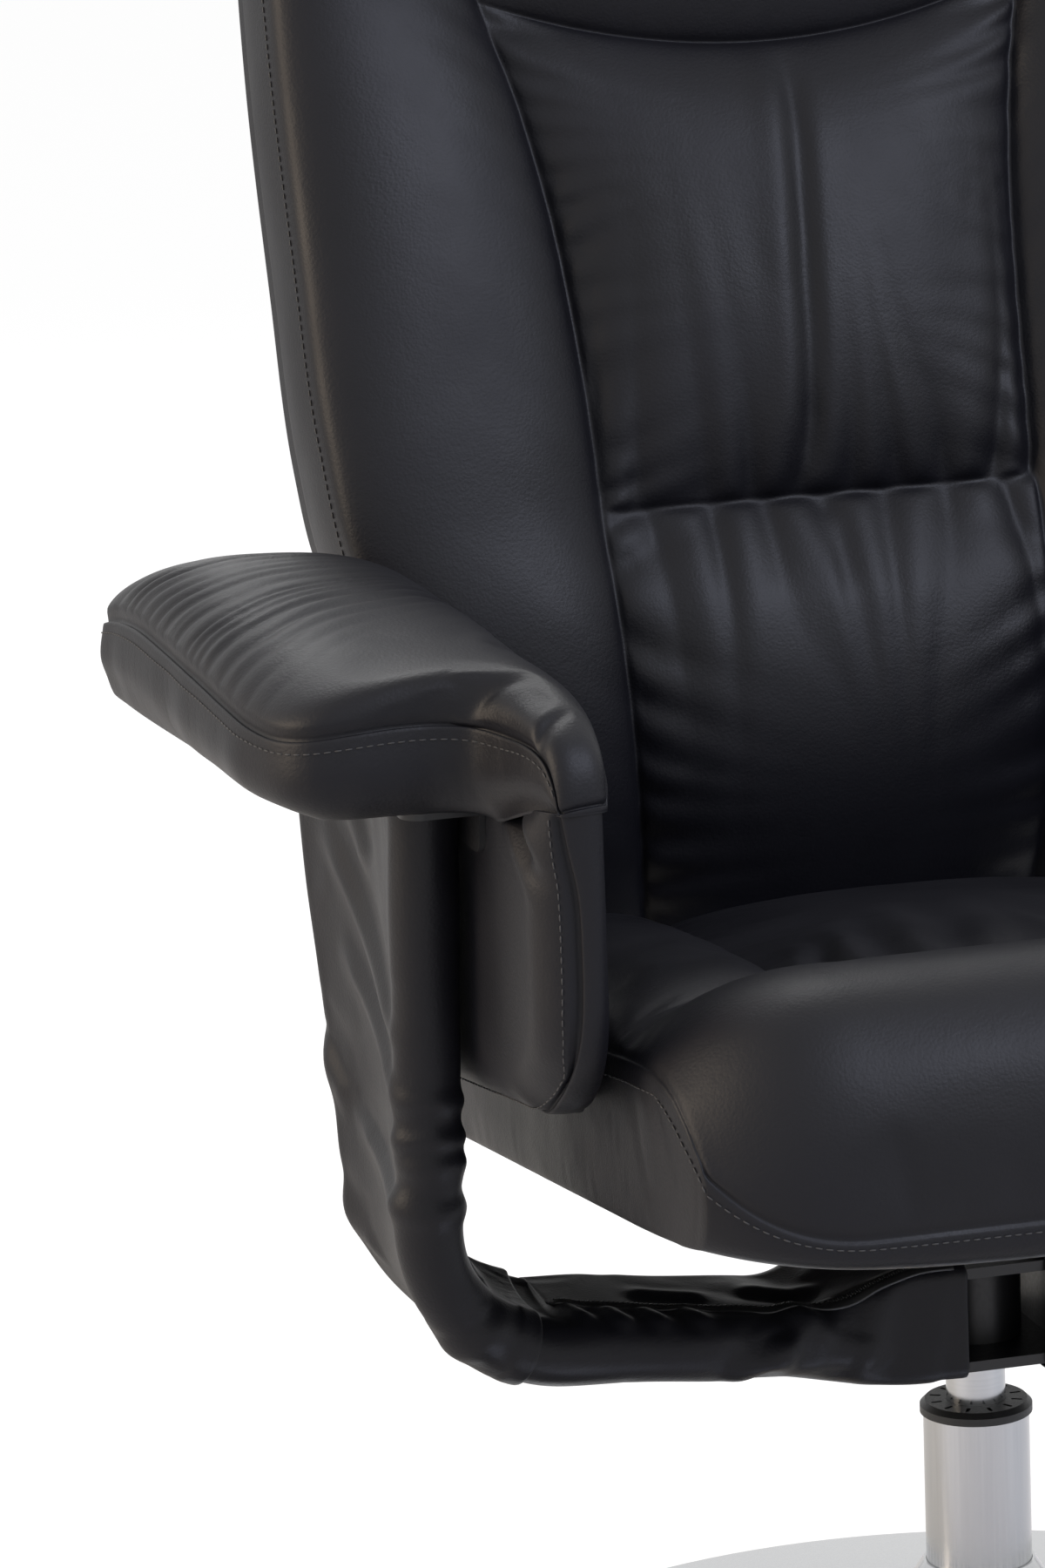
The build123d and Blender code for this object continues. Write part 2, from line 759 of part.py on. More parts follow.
tilt_cos = math.cos(math.radians(seat_tilt))
tilt_sin = math.sin(math.radians(seat_tilt))
half_recline = math.radians(recline / 2)
pivot_v = pivot_y * tilt_cos - (pivot_z - seat_z) * tilt_sin
pivot_w = pivot_y * tilt_sin + (pivot_z - seat_z) * tilt_cos
drive_v = pivot_v + drive_arm * math.sin(half_recline)
drive_w = pivot_w - drive_arm * math.cos(half_recline)
seat_travel = 2 * drive_arm * math.sin(half_recline)
pin_dip = drive_arm * (1 - math.cos(half_recline))
drive_y = drive_v * tilt_cos + drive_w * tilt_sin
drive_z = seat_z - drive_v * tilt_sin + drive_w * tilt_cos

side_plate_in = panel_in - side_plate_t
link_out = side_plate_in - 3 * plate_gap
link_in = link_out - link_t
runner_out = link_in - plate_gap
runner_in = runner_out - runner_t


def side_plate(s):
    ear_low = (plate_screw_v[-1] + side_strip_r, runner_w)
    strip = ear_low[0] - plate_screw_v[0]
    ear = Vector(pivot_v - ear_low[0], pivot_w - ear_low[1])
    with BuildPart() as piece:
        with BuildSketch(side_plane(s, side_plate_in)):
            with Locations(((plate_screw_v[0] + ear_low[0]) / 2, runner_w)):
                SlotCenterToCenter(strip, 2 * side_strip_r)
            with Locations(((ear_low[0] + pivot_v) / 2, (ear_low[1] + pivot_w) / 2)):
                SlotCenterToCenter(
                    ear.length, 2 * side_ear_r, rotation=math.degrees(math.atan2(ear.Y, ear.X))
                )
            for v in stud_v:
                slot_width = 2 * (stud_r + stud_play)
                with Locations((v - seat_travel / 2, runner_w)):
                    SlotCenterToCenter(seat_travel + slot_over, slot_width, mode=Mode.SUBTRACT)
            with Locations((pivot_v, pivot_w)):
                Circle(pivot_r + running, mode=Mode.SUBTRACT)
            with Locations(*[(v, runner_w) for v in plate_screw_v]):
                Circle(plate_screw_r + running, mode=Mode.SUBTRACT)
        extrude(amount=s * side_plate_t)
        for v in plate_screw_v:
            screw_cone(s, v, side_plate_in)
    return piece


def screw_cone(s, v, x):
    # Countersink cut into the face of a plate at x, narrowing towards s.
    head_r = plate_screw_head_r + running
    shank_r = plate_screw_r + running
    depth = head_r - shank_r
    plane = side_plane(s, x)
    with BuildSketch(plane) as mouth:
        with Locations((v, runner_w)):
            Circle(head_r)
    with BuildSketch(plane.offset(s * depth)) as throat:
        with Locations((v, runner_w)):
            Circle(shank_r)
    loft(sections=[mouth.sketch, throat.sketch], mode=Mode.SUBTRACT)


def flat_screws(s, places, x, way, length):
    # Countersunk screws along X, heads flush at x and points towards way.
    depth = plate_screw_head_r - plate_screw_r
    with BuildPart() as piece:
        for v in places:
            plane = side_plane(s, x)
            with BuildSketch(plane):
                with Locations((v, runner_w)):
                    Circle(plate_screw_head_r)
            with BuildSketch(plane.offset(way * depth)):
                with Locations((v, runner_w)):
                    Circle(plate_screw_r)
            loft()
            with BuildSketch(plane.offset(way * depth)):
                with Locations((v, runner_w)):
                    Circle(plate_screw_r)
            extrude(amount=way * (length - depth))
    return piece


def plate_screws(s):
    return flat_screws(s, plate_screw_v, side_plate_in, s, plate_screw_len)


def runner_screws(s):
    return flat_screws(s, runner_screw_v, runner_out, -s, runner_screw_len)


def pivot_bolt(s):
    plane = Plane.YZ.offset(s * (link_in - plate_gap))
    with BuildPart() as piece:
        with BuildSketch(plane):
            with Locations((pivot_y, pivot_z)):
                Circle(pivot_head_r)
        extrude(amount=-s * pivot_head_h)
        fillet(piece.edges().sort_by(Axis.X)[0 if s > 0 else -1], pivot_head_round)
        with BuildSketch(plane):
            with Locations((pivot_y, pivot_z)):
                Circle(pivot_r)
        extrude(amount=s * (panel_in - link_in + plate_gap - slip))
    return piece


def recline_link(s):
    flange_y = back_y + back_board_t
    with BuildPart() as piece:
        with BuildSketch(Plane.YZ.offset(s * link_in)):
            with BuildLine():
                CenterArc((pivot_y, pivot_z), pivot_boss_r, 0, 360)
                CenterArc((drive_y, drive_z), pin_boss_r, 0, 360)
                Line((flange_y + link_t, link_flange_z[0]), (flange_y + link_t, link_flange_z[1]))
            make_hull()
            with Locations(((pivot_y + flange_y) / 2, sum(link_flange_z) / 2)):
                Circle(link_hole_r, mode=Mode.SUBTRACT)
            with Locations((pivot_y, pivot_z)):
                Circle(pivot_r + running, mode=Mode.SUBTRACT)
        extrude(amount=s * link_t)
        with BuildSketch(Plane.XZ.offset(-flange_y)):
            with Locations((s * (link_flange_x + link_out) / 2, sum(link_flange_z) / 2)):
                Rectangle(link_out - link_flange_x, link_flange_z[1] - link_flange_z[0])
            with Locations(*[(s * x, z) for x in link_screw_x for z in link_screw_z]):
                Circle(link_screw_r + running, mode=Mode.SUBTRACT)
        extrude(amount=-link_t)
        with BuildSketch(Plane.YZ.offset(s * link_in)):
            with Locations((drive_y, drive_z)):
                Circle(drive_pin_r)
        extrude(amount=-s * (plate_gap + runner_t - slip))
    return piece


def friction_washer(s):
    with BuildPart() as piece:
        with BuildSketch(Plane.YZ.offset(s * (link_out + washer_gap))):
            with Locations((pivot_y, pivot_z)):
                Circle(washer_r)
                Circle(pivot_r + running, mode=Mode.SUBTRACT)
        extrude(amount=s * (side_plate_in - link_out - 2 * washer_gap))
    return piece


def seat_runner(s):
    slot_h = 2 * (drive_pin_r + drive_pin_play) + 2 * pin_dip
    with BuildPart() as piece:
        with BuildSketch(side_plane(s, runner_in)):
            with Locations(((runner_v[0] + runner_v[1]) / 2, runner_w)):
                Rectangle(runner_v[1] - runner_v[0], runner_h)
            with BuildLine():
                CenterArc((drive_v, drive_w), pin_boss_r, 0, 360)
                CenterArc((runner_v[1] - runner_h / 2, runner_w), runner_h / 2, 0, 360)
            make_hull()
            with Locations((drive_v, drive_w - pin_dip / 2)):
                SlotOverall(
                    slot_h, 2 * (drive_pin_r + drive_pin_play), rotation=90, mode=Mode.SUBTRACT
                )
            with Locations(*[(v, runner_w) for v in runner_screw_v]):
                Circle(plate_screw_r + running, mode=Mode.SUBTRACT)
        extrude(amount=s * runner_t)
        with BuildSketch(side_plane(s, runner_out)):
            with Locations(*[(v, runner_w) for v in stud_v]):
                Circle(stud_r)
        extrude(amount=s * (panel_in - runner_out - plate_gap))
        for v in runner_screw_v:
            screw_cone(-s, v, -runner_out)
    return piece


def seat_glides(s):
    with BuildPart() as piece:
        with BuildSketch(side_plane(s, runner_out)):
            with Locations(*[(v, runner_w) for v in stud_v]):
                Circle(glide_r)
                Circle(stud_r + running, mode=Mode.SUBTRACT)
        extrude(amount=s * (side_plate_in - runner_out - slip))
    return piece


def link_screws(s):
    head_y = back_y + back_board_t + link_t
    places = [(s * x, z) for x in link_screw_x for z in link_screw_z]
    with BuildPart() as piece:
        with BuildSketch(Plane.XZ.offset(-head_y)):
            with Locations(*places):
                Circle(link_screw_head_r)
        extrude(amount=-link_screw_head_h, taper=link_screw_head_taper)
        with BuildSketch(Plane.XZ.offset(-head_y)):
            with Locations(*places):
                Circle(link_screw_r)
        extrude(amount=link_screw_len)
    return piece


for side, s in sides.items():
    save(side_plate(s), f"side_plate_{side}")
    save(recline_link(s), f"recline_link_{side}")
    save(seat_runner(s), f"seat_runner_{side}")
save(both(plate_screws), "plate_screws")
save(both(pivot_bolt), "pivot_bolts")
save(both(friction_washer), "friction_washers")
save(both(seat_glides), "seat_glides")
save(both(runner_screws), "runner_screws")
save(both(link_screws), "link_screws")

# Seat: timber frame, webbing, dust cover and cushion

seat_plane = Plane(origin=(0, 0, seat_z), x_dir=(1, 0, 0), z_dir=(0, tilt_sin, tilt_cos))
rail_out = runner_in - cover_t - 2 * slip
rail_length = rail_rear - rail_front
rail_mid = (rail_rear + rail_front) / 2

with BuildPart() as seat_frame:
    with BuildSketch(seat_plane.offset(rail_w[0])):
        with Locations((0, rail_mid)):
            RectangleRounded(2 * rail_out, rail_length, rail_round)
            Rectangle(2 * (rail_out - rail_t), rail_length - 2 * rail_t, mode=Mode.SUBTRACT)
    extrude(amount=rail_w[1] - rail_w[0])
    for s in sides.values():
        with BuildSketch(side_plane(s, rail_out)):
            with Locations(*[(v, runner_w) for v in runner_screw_v]):
                Circle(plate_screw_r + running)
        extrude(amount=-s * rail_t, mode=Mode.SUBTRACT)
save(seat_frame, "seat_frame")

with BuildPart() as seat_webbing:
    pitch = (rail_length - 2 * rail_t) / web_count
    with BuildSketch(seat_plane.offset(web_w - web_t)):
        with Locations((0, rail_mid)):
            with GridLocations(1, pitch, 1, web_count):
                Rectangle(2 * (rail_out - rail_t), web_width)
    extrude(amount=web_t)
save(seat_webbing, "seat_webbing")

with BuildPart() as seat_dust_cover:
    with BuildSketch(seat_plane.offset(rail_w[0] - dust_t)):
        with Locations((0, rail_mid)):
            RectangleRounded(2 * rail_out, rail_length - 2 * dust_inset, rail_round)
    extrude(amount=dust_t)
save(seat_dust_cover, "seat_dust_cover")


def seat_section(v, share, inner):
    # Cross section of the seat: side band, bolster, centre panel, bolster, side band.
    half = runner_in - slip
    seam = share * inner_seam_w
    bolster = share * bolster_w
    bolster_u = (half + inner) / 2
    across = Plane(seat_plane.origin + seat_plane.y_dir * v, x_dir=(1, 0, 0), z_dir=seat_plane.y_dir)
    with BuildSketch(across) as section:
        with BuildLine():
            Line((-half, 0), (-half, -side_seam_w))
            ThreePointArc((-half, -side_seam_w), (-bolster_u, -bolster), (-inner, -seam))
            ThreePointArc((-inner, -seam), (0, -share * centre_w), (inner, -seam))
            ThreePointArc((inner, -seam), (bolster_u, -bolster), (half, -side_seam_w))
            Line((half, -side_seam_w), (half, 0))
            Line((half, 0), (-half, 0))
        make_face()
    return section.sketch


with BuildPart() as seat_cushion:
    loft(sections=[seat_section(*station) for station in seat_stations])
    for u, drop, setback, belly in roll_stations:
        front = seat_front + setback
        top = roll_top_w - drop
        low = -roll_belly * belly
        with BuildSketch(side_plane(1, u)):
            with BuildLine():
                rear_top = (roll_back, top - roll_rear_drop)
                nose = (front + roll_nose[0], top * roll_nose[1])
                foot = (front + roll_foot, low)
                Line((roll_back, 0), rear_top)
                ThreePointArc(rear_top, ((front + roll_back) / 2, top), nose)
                ThreePointArc(nose, (front, top * roll_front_share), foot)
                Line(foot, (roll_back, 0))
            make_face()
    loft()
    with BuildSketch(seat_plane.offset(-roll_belly)):
        with Locations((0, rail_mid)):
            Rectangle(2 * (rail_out - rail_t), rail_length - 2 * rail_t)
    extrude(amount=web_w + slip + roll_belly, mode=Mode.SUBTRACT)
    with BuildSketch(seat_plane.offset(-roll_belly)):
        with Locations((0, rail_mid)):
            RectangleRounded(2 * (rail_out + slip), rail_length + 2 * slip, rail_round + slip)
            inside = (2 * (rail_out - rail_t - slip), rail_length - 2 * (rail_t + slip))
            Rectangle(*inside, mode=Mode.SUBTRACT)
    extrude(amount=rail_w[1] + slip + roll_belly, mode=Mode.SUBTRACT)
    for s in sides.values():
        with BuildSketch(side_plane(s, rail_out)):
            with Locations(*[(v, runner_w) for v in runner_screw_v]):
                Circle(plate_screw_r + slip)
        extrude(amount=s * 2 * cover_t, mode=Mode.SUBTRACT)
save(seat_cushion, "seat_cushion")

# Back: bent board, rear pad and cushion

lean = math.radians(back_lean)
back_low_half = link_in - back_link_gap


def back_line(depth, low_z):
    # Side view of a line behind the board's front face, upright and then leaning.
    corner_z = back_bend_z - depth * math.tan(lean / 2)
    end_y = back_y + back_upper * math.sin(lean) + depth * math.cos(lean)
    end_z = back_bend_z + back_upper * math.cos(lean) - depth * math.sin(lean)
    return (back_y + depth, low_z), (back_y + depth, corner_z), (end_y, end_z)


def back_slab(near, far, low_z, half, mode=Mode.ADD):
    front = back_line(near, low_z)
    rear = back_line(far, low_z)
    with BuildSketch(Plane.YZ) as profile:
        with BuildLine():
            FilletPolyline(*front, radius=back_bend_r - near)
            FilletPolyline(*rear, radius=back_bend_r - far)
            Line(front[0], rear[0])
            Line(front[2], rear[2])
        make_face()
    extrude(profile.sketch, amount=half, both=True, mode=mode)


def back_flange_cuts(half, inner, top_z):
    # Room at the lower corners, between the arms and behind the links.
    for s in sides.values():
        with BuildSketch(Plane.XZ) as corner:
            with Locations((s * (half + inner) / 2, top_z)):
                Rectangle(half - inner, top_z, align=(Align.CENTER, Align.MAX))
        extrude(corner.sketch, amount=-2 * back_y, mode=Mode.SUBTRACT)


with BuildPart() as back_board:
    back_slab(0, back_board_t, back_z, back_board_half)
    fillet(back_board.edges().filter_by(Axis.X, reverse=True).group_by(Axis.Z)[-1], back_board_round)
    back_flange_cuts(back_board_half + slip, back_low_half, back_shoulder_z)
    with BuildSketch(Plane.XZ.offset(-back_y)):
        with Locations(*[(s * x, z) for s in sides.values() for x in link_screw_x for z in link_screw_z]):
            Circle(link_screw_r + running)
    extrude(amount=-back_board_t, mode=Mode.SUBTRACT)
save(back_board, "back_board")

with BuildPart() as back_rear_pad:
    back_slab(back_board_t + slip, back_board_t + rear_pad_t, rear_pad_z, back_board_half)
    fillet(back_rear_pad.edges().filter_by(Axis.X, reverse=True).group_by(Axis.Z)[-1], back_board_round)
    back_flange_cuts(back_board_half + slip, back_low_half, back_shoulder_z)
    back_flange_cuts(back_board_half + slip, link_flange_x - slip, link_flange_z[1] + slip)
save(back_rear_pad, "back_rear_pad")


def back_plane(along):
    # Plane across the board at a distance along its front face from the lower end.
    upright = back_bend_z - back_bend_r * math.tan(lean / 2) - back_z
    angle = min(max((along - upright) / back_bend_r, 0), lean)
    beyond = max(along - upright - back_bend_r * lean, 0)
    y = back_y + back_bend_r * (1 - math.cos(angle)) + beyond * math.sin(angle)
    z = back_z + min(along, upright) + back_bend_r * math.sin(angle) + beyond * math.cos(angle)
    return Plane(origin=(0, y, z), x_dir=(1, 0, 0), z_dir=(0, math.sin(angle), math.cos(angle)))


def back_section(along, half, outer_seam, inner, inner_seam, bolster, crown):
    bolster_u = (half + inner) / 2
    bolster_t = (outer_seam + inner_seam) / 2 + bolster
    board_side = back_board_t / 2
    with BuildSketch(back_plane(along)) as section:
        with BuildLine():
            Line((-half, board_side), (-half, -outer_seam))
            ThreePointArc((-half, -outer_seam), (-bolster_u, -bolster_t), (-inner, -inner_seam))
            ThreePointArc((-inner, -inner_seam), (0, -inner_seam - crown), (inner, -inner_seam))
            ThreePointArc((inner, -inner_seam), (bolster_u, -bolster_t), (half, -outer_seam))
            Line((half, -outer_seam), (half, board_side))
            Line((half, board_side), (-half, board_side))
        make_face()
    return section.sketch


with BuildPart() as back_cushion:
    for stations in (lumbar_stations, upper_stations, head_stations):
        loft(sections=[back_section(*station) for station in stations])
    back_slab(-slip, back_board_t, back_z - slip, 2 * back_board_half, mode=Mode.SUBTRACT)
save(back_cushion, "back_cushion")

print(f"seat travel {seat_travel:.2f} mm over {recline:.0f} degrees")
print(f"ratio {seat_travel / math.radians(recline) / 1000:.5f} m/rad")
print(f"drive pin at y {drive_y:.2f} z {drive_z:.2f}")
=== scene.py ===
import json
import math

import bpy
import numpy as np
from mathutils import Matrix


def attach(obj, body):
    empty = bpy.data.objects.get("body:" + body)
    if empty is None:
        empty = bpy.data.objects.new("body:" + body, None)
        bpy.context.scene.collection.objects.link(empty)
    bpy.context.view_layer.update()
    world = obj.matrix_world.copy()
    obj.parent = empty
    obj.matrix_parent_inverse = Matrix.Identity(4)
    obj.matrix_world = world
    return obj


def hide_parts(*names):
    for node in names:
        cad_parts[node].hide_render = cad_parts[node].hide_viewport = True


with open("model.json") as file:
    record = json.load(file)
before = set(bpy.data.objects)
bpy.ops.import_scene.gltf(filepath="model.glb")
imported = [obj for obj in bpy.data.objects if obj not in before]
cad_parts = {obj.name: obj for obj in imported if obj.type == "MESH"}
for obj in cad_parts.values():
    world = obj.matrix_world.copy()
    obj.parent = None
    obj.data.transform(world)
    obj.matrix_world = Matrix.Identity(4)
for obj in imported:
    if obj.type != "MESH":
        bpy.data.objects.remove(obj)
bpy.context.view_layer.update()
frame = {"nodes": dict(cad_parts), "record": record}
cadNodes = frame["nodes"]
scene = bpy.context.scene
mm = 0.001
print("frame loaded:", len(cadNodes), "nodes")


def hexColour(code):
    parts = [int(code[i:i + 2], 16) / 255 for i in (1, 3, 5)]
    return [c / 12.92 if c <= 0.04045 else ((c + 0.055) / 1.055) ** 2.4 for c in parts] + [1.0]


def addNode(tree, kind, settings=None, links=None):
    node = tree.nodes.new(kind)
    for key, value in (settings or {}).items():
        if isinstance(key, int) or key in node.inputs:
            node.inputs[key].default_value = value
        else:
            setattr(node, key, value)
    for key, source in (links or {}).items():
        tree.links.new(source, node.inputs[key])
    return node


def newMaterial(name, settings):
    material = bpy.data.materials.new(name)
    material.use_nodes = True
    tree = material.node_tree
    shader = tree.nodes["Principled BSDF"]
    for key, value in settings.items():
        shader.inputs[key].default_value = value
    place = addNode(tree, "ShaderNodeTexCoord").outputs["Object"]
    return material, tree, shader, place


# materials

def toneAndGloss(tree, shader, noise, tones, roughness):
    # two close tones and a range of roughness, both led by one noise
    dark, light = (hexColour(code) for code in tones)
    tone = addNode(tree, "ShaderNodeMix", {
        "data_type": "RGBA", 6: dark, 7: light,
    }, {0: noise.outputs["Fac"]})
    tree.links.new(tone.outputs[2], shader.inputs["Base Color"])
    gloss = addNode(tree, "ShaderNodeMapRange", {
        "From Min": 0.3, "From Max": 0.7, "To Min": roughness[0], "To Max": roughness[1],
    }, {"Value": noise.outputs["Fac"]})
    tree.links.new(gloss.outputs["Result"], shader.inputs["Roughness"])


leather = {
    "tones": ("#0c0c10", "#14141a"), "roughness": (0.41, 0.54), "sheen": 0.26,
    # sizes in mm
    "cloud": 90, "pebble": 1.5, "pore": 0.45, "crease": 9.0, "relief": 0.14, "creaseRelief": 0.30,
}


def grainedLeather(name, finish):
    # coated split leather, embossed: small pebbles and broad creases, soft broad highlights
    material, tree, shader, place = newMaterial(name, {"IOR": 1.48, "Specular IOR Level": finish["sheen"]})
    cloud = addNode(tree, "ShaderNodeTexNoise", {
        "Scale": 1000 / finish["cloud"], "Detail": 3.0,
    }, {"Vector": place})
    toneAndGloss(tree, shader, cloud, finish["tones"], finish["roughness"])
    pebbles = addNode(tree, "ShaderNodeTexVoronoi", {
        "feature": "SMOOTH_F1", "Scale": 1000 / finish["pebble"], "Smoothness": 0.6,
    }, {"Vector": place})
    pores = addNode(tree, "ShaderNodeTexNoise", {
        "Scale": 1000 / finish["pore"], "Detail": 2.0,
    }, {"Vector": place})
    creases = addNode(tree, "ShaderNodeTexNoise", {
        "Scale": 1000 / finish["crease"], "Detail": 4.0, "Distortion": 0.8,
    }, {"Vector": place})
    broad = addNode(tree, "ShaderNodeBump", {
        "Strength": 0.35, "Distance": finish["creaseRelief"] * mm,
    }, {"Height": creases.outputs["Fac"]})
    fine = addNode(tree, "ShaderNodeBump", {
        "Strength": 0.5, "Distance": finish["relief"] * mm,
    }, {"Height": pores.outputs["Fac"], "Normal": broad.outputs["Normal"]})
    skin = addNode(tree, "ShaderNodeBump", {
        "Strength": 0.6, "Distance": finish["relief"] * mm, "invert": True,
    }, {"Height": pebbles.outputs["Distance"], "Normal": fine.outputs["Normal"]})
    tree.links.new(skin.outputs["Normal"], shader.inputs["Normal"])
    return material


blackLeather = grainedLeather("blackSplitLeather", leather)


def speckled(name, settings, first, second, grain, relief, roughness):
    # cast, moulded, sawn or woven finishes: two close tones and a shallow relief at the grain's own size
    material, tree, shader, place = newMaterial(name, settings)
    stretch = addNode(tree, "ShaderNodeMapping", {
        "Scale": [1000 / g for g in grain],
    }, {"Vector": place})
    mottle = addNode(tree, "ShaderNodeTexNoise", {
        "Scale": 1.0, "Detail": 4.0,
    }, {"Vector": stretch.outputs["Vector"]})
    toneAndGloss(tree, shader, mottle, (first, second), roughness)
    bump = addNode(tree, "ShaderNodeBump", {
        "Strength": 0.4, "Distance": relief * mm,
    }, {"Height": mottle.outputs["Fac"]})
    tree.links.new(bump.outputs["Normal"], shader.inputs["Normal"])
    return material


finishes = {
    # polished plate over steel: bright, faint lengthwise brushing
    "chrome": speckled("chromePlate", {"Metallic": 1.0}, "#b4b5b7", "#c6c7c8",
                       (1.2, 1.2, 60), 0.004, (0.10, 0.20)),
    # mill scale left bare
    "ballast_steel": speckled("blackMillSteel", {"Metallic": 1.0}, "#4b4b4d", "#626264",
                              (9, 9, 9), 0.05, (0.42, 0.60)),
    # vulcanised sheet: dead matt
    "rubber_underlay": speckled("sheetRubber", {"IOR": 1.52}, "#17171a", "#1f1f21",
                                (1.4, 1.4, 1.4), 0.08, (0.78, 0.90)),
    # powder coat: satin with a slight orange peel
    "black_steel": speckled("blackPowderCoat", {"IOR": 1.5}, "#101012", "#161618",
                            (1.8, 1.8, 1.8), 0.06, (0.36, 0.48)),
    # bright zinc: pale and slightly cloudy
    "zinc_steel": speckled("brightZinc", {"Metallic": 1.0}, "#a9abb0", "#c2c4c8",
                           (3, 3, 3), 0.02, (0.26, 0.40)),
    # ground bar: fine rings round the shaft
    "ground_steel": speckled("groundBar", {"Metallic": 1.0}, "#b4b6b8", "#cccdce",
                             (40, 40, 1.1), 0.006, (0.14, 0.26)),
    # moulded polyamide: even and matt
    "black_nylon": speckled("mouldedNylon", {"IOR": 1.53}, "#0f0f10", "#151516",
                            (1.1, 1.1, 1.1), 0.03, (0.40, 0.55)),
    # birch plies: pale, long grain
    "plywood": speckled("birchPlywood", {"IOR": 1.5}, "#b8956a", "#d0b088",
                        (6, 6, 90), 0.10, (0.55, 0.70)),
    # sawn pine: yellower, coarse grain along the rails
    "pine": speckled("sawnPine", {"IOR": 1.5}, "#bf9763", "#d8b684",
                     (70, 9, 9), 0.15, (0.60, 0.75)),
    # woven elastic
    "elastic_webbing": speckled("wovenElastic", {"IOR": 1.5}, "#232324", "#3a3a3b",
                                (1.6, 40, 1.6), 0.25, (0.80, 0.92)),
    # felted dust cloth
    "dust_cloth": speckled("feltedCloth", {"IOR": 1.5}, "#121213", "#1d1d1e",
                           (2.2, 2.2, 2.2), 0.20, (0.85, 0.95)),
}
# spun thread: grey against the hide, a little sheen
threadGrey = speckled("polyesterThread", {"IOR": 1.5}, "#2a2a2b", "#403f3f",
                      (0.5, 0.5, 0.5), 0.05, (0.55, 0.70))

slotOf = {part["node"]: part["material_slot"] for part in frame["record"]["subparts"]}
for nodeName, node in cadNodes.items():
    finish = finishes.get(slotOf[nodeName], blackLeather)
    node.data.materials.clear()
    node.data.materials.append(finish)
print("materials ready:", len(finishes) + 2)


# mesh helpers

def pick(piece):
    bpy.ops.object.select_all(action="DESELECT")
    piece.select_set(True)
    bpy.context.view_layer.objects.active = piece


def makePiece(name, points, faces, material):
    mesh = bpy.data.meshes.new(name)
    mesh.from_pydata((np.asarray(points) * mm).tolist(), [], faces)
    piece = bpy.data.objects.new(name, mesh)
    scene.collection.objects.link(piece)
    mesh.materials.append(material)
    pick(piece)
    bpy.ops.object.mode_set(mode="EDIT")
    bpy.ops.mesh.select_all(action="SELECT")
    bpy.ops.mesh.normals_make_consistent(inside=False)
    bpy.ops.object.mode_set(mode="OBJECT")
    bpy.ops.object.shade_smooth()
    return piece


def readPoints(piece):
    flat = np.zeros(len(piece.data.vertices) * 3)
    piece.data.vertices.foreach_get("co", flat)
    return flat.reshape(-1, 3) / mm


def writePoints(piece, points):
    piece.data.vertices.foreach_set("co", (points * mm).ravel())
    piece.data.update()


def readNormals(piece):
    flat = np.zeros(len(piece.data.vertices) * 3)
    piece.data.vertices.foreach_get("normal", flat)
    return flat.reshape(-1, 3)


def closeEnds(piece):
    # fill each open edge, after subdivision so that it stays flat
    pick(piece)
    bpy.ops.object.mode_set(mode="EDIT")
    bpy.ops.mesh.select_mode(type="EDGE")
    bpy.ops.mesh.select_all(action="DESELECT")
    bpy.ops.mesh.select_non_manifold(use_wire=False, use_multi_face=False,
                                     use_non_contiguous=False, use_verts=False)
    bpy.ops.mesh.edge_face_add()
    bpy.ops.mesh.select_mode(type="VERT")
    bpy.ops.object.mode_set(mode="OBJECT")


def finishPiece(piece, body, replaced, levels=1):
    if levels:
        pick(piece)
        smooth = piece.modifiers.new("smooth", "SUBSURF")
        smooth.levels = smooth.render_levels = levels
        bpy.ops.object.modifier_apply(modifier="smooth")
        closeEnds(piece)
    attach(piece, body)
    if replaced:
        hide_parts(*replaced)


def follow(table, at):
    # smooth curve through a table of (place, value)
    xs, ys = np.array(table, float).T
    slopes = np.gradient(ys, xs)
    at = np.clip(np.asarray(at, float), xs[0], xs[-1])
    i = np.clip(np.searchsorted(xs, at, side="right") - 1, 0, len(xs) - 2)
    gap = xs[i + 1] - xs[i]
    t = (at - xs[i]) / gap
    return ((2 * t**3 - 3 * t**2 + 1) * ys[i] + (t**3 - 2 * t**2 + t) * gap * slopes[i]
            + (3 * t**2 - 2 * t**3) * ys[i + 1] + (t**3 - t**2) * gap * slopes[i + 1])


def unit(vectors):
    return vectors / np.linalg.norm(vectors, axis=-1, keepdims=True)


def runLength(line):
    # distance along a line of points, from its start
    return np.concatenate([[0], np.cumsum(np.linalg.norm(np.diff(line, axis=0), axis=1))])


def sample(line, length, at):
    # points of a line, or the normals along it, at given distances
    return np.stack([np.interp(at, length, column) for column in line.T], axis=-1)


def alongPath(points, shares):
    # points at shares of the length of a smooth line through the given ones
    points = np.array(points, float)
    knots = np.arange(len(points))
    dense = np.linspace(0, len(points) - 1, 40 * len(points))
    line = np.stack([follow(list(zip(knots, column)), dense) for column in points.T], axis=1)
    length = runLength(line)
    return sample(line, length, np.asarray(shares) * length[-1])


def closeSpaced(count, pull=0.5):
    # shares from 0 to 1, closer together at both ends, where the seams are
    t = np.linspace(0, 1, count)
    return (1 - pull) * t + pull * (0.5 - 0.5 * np.cos(math.pi * t))


def easeInOut(share):
    return share * share * (3 - 2 * share)


def ripple(at, spacing, seed):
    # smooth uneven waves, about one every spacing
    at = np.asarray(at, float)
    draw = np.random.RandomState(seed)
    knots = draw.uniform(-1, 1, 400)
    place = (at / spacing) % 390
    i = place.astype(int)
    t = easeInOut(place - i)
    return knots[i] * (1 - t) + knots[i + 1] * t


# mean height of a rounded ridge, so that gathers neither lift nor sink the sheet
meanRidge = 0.64


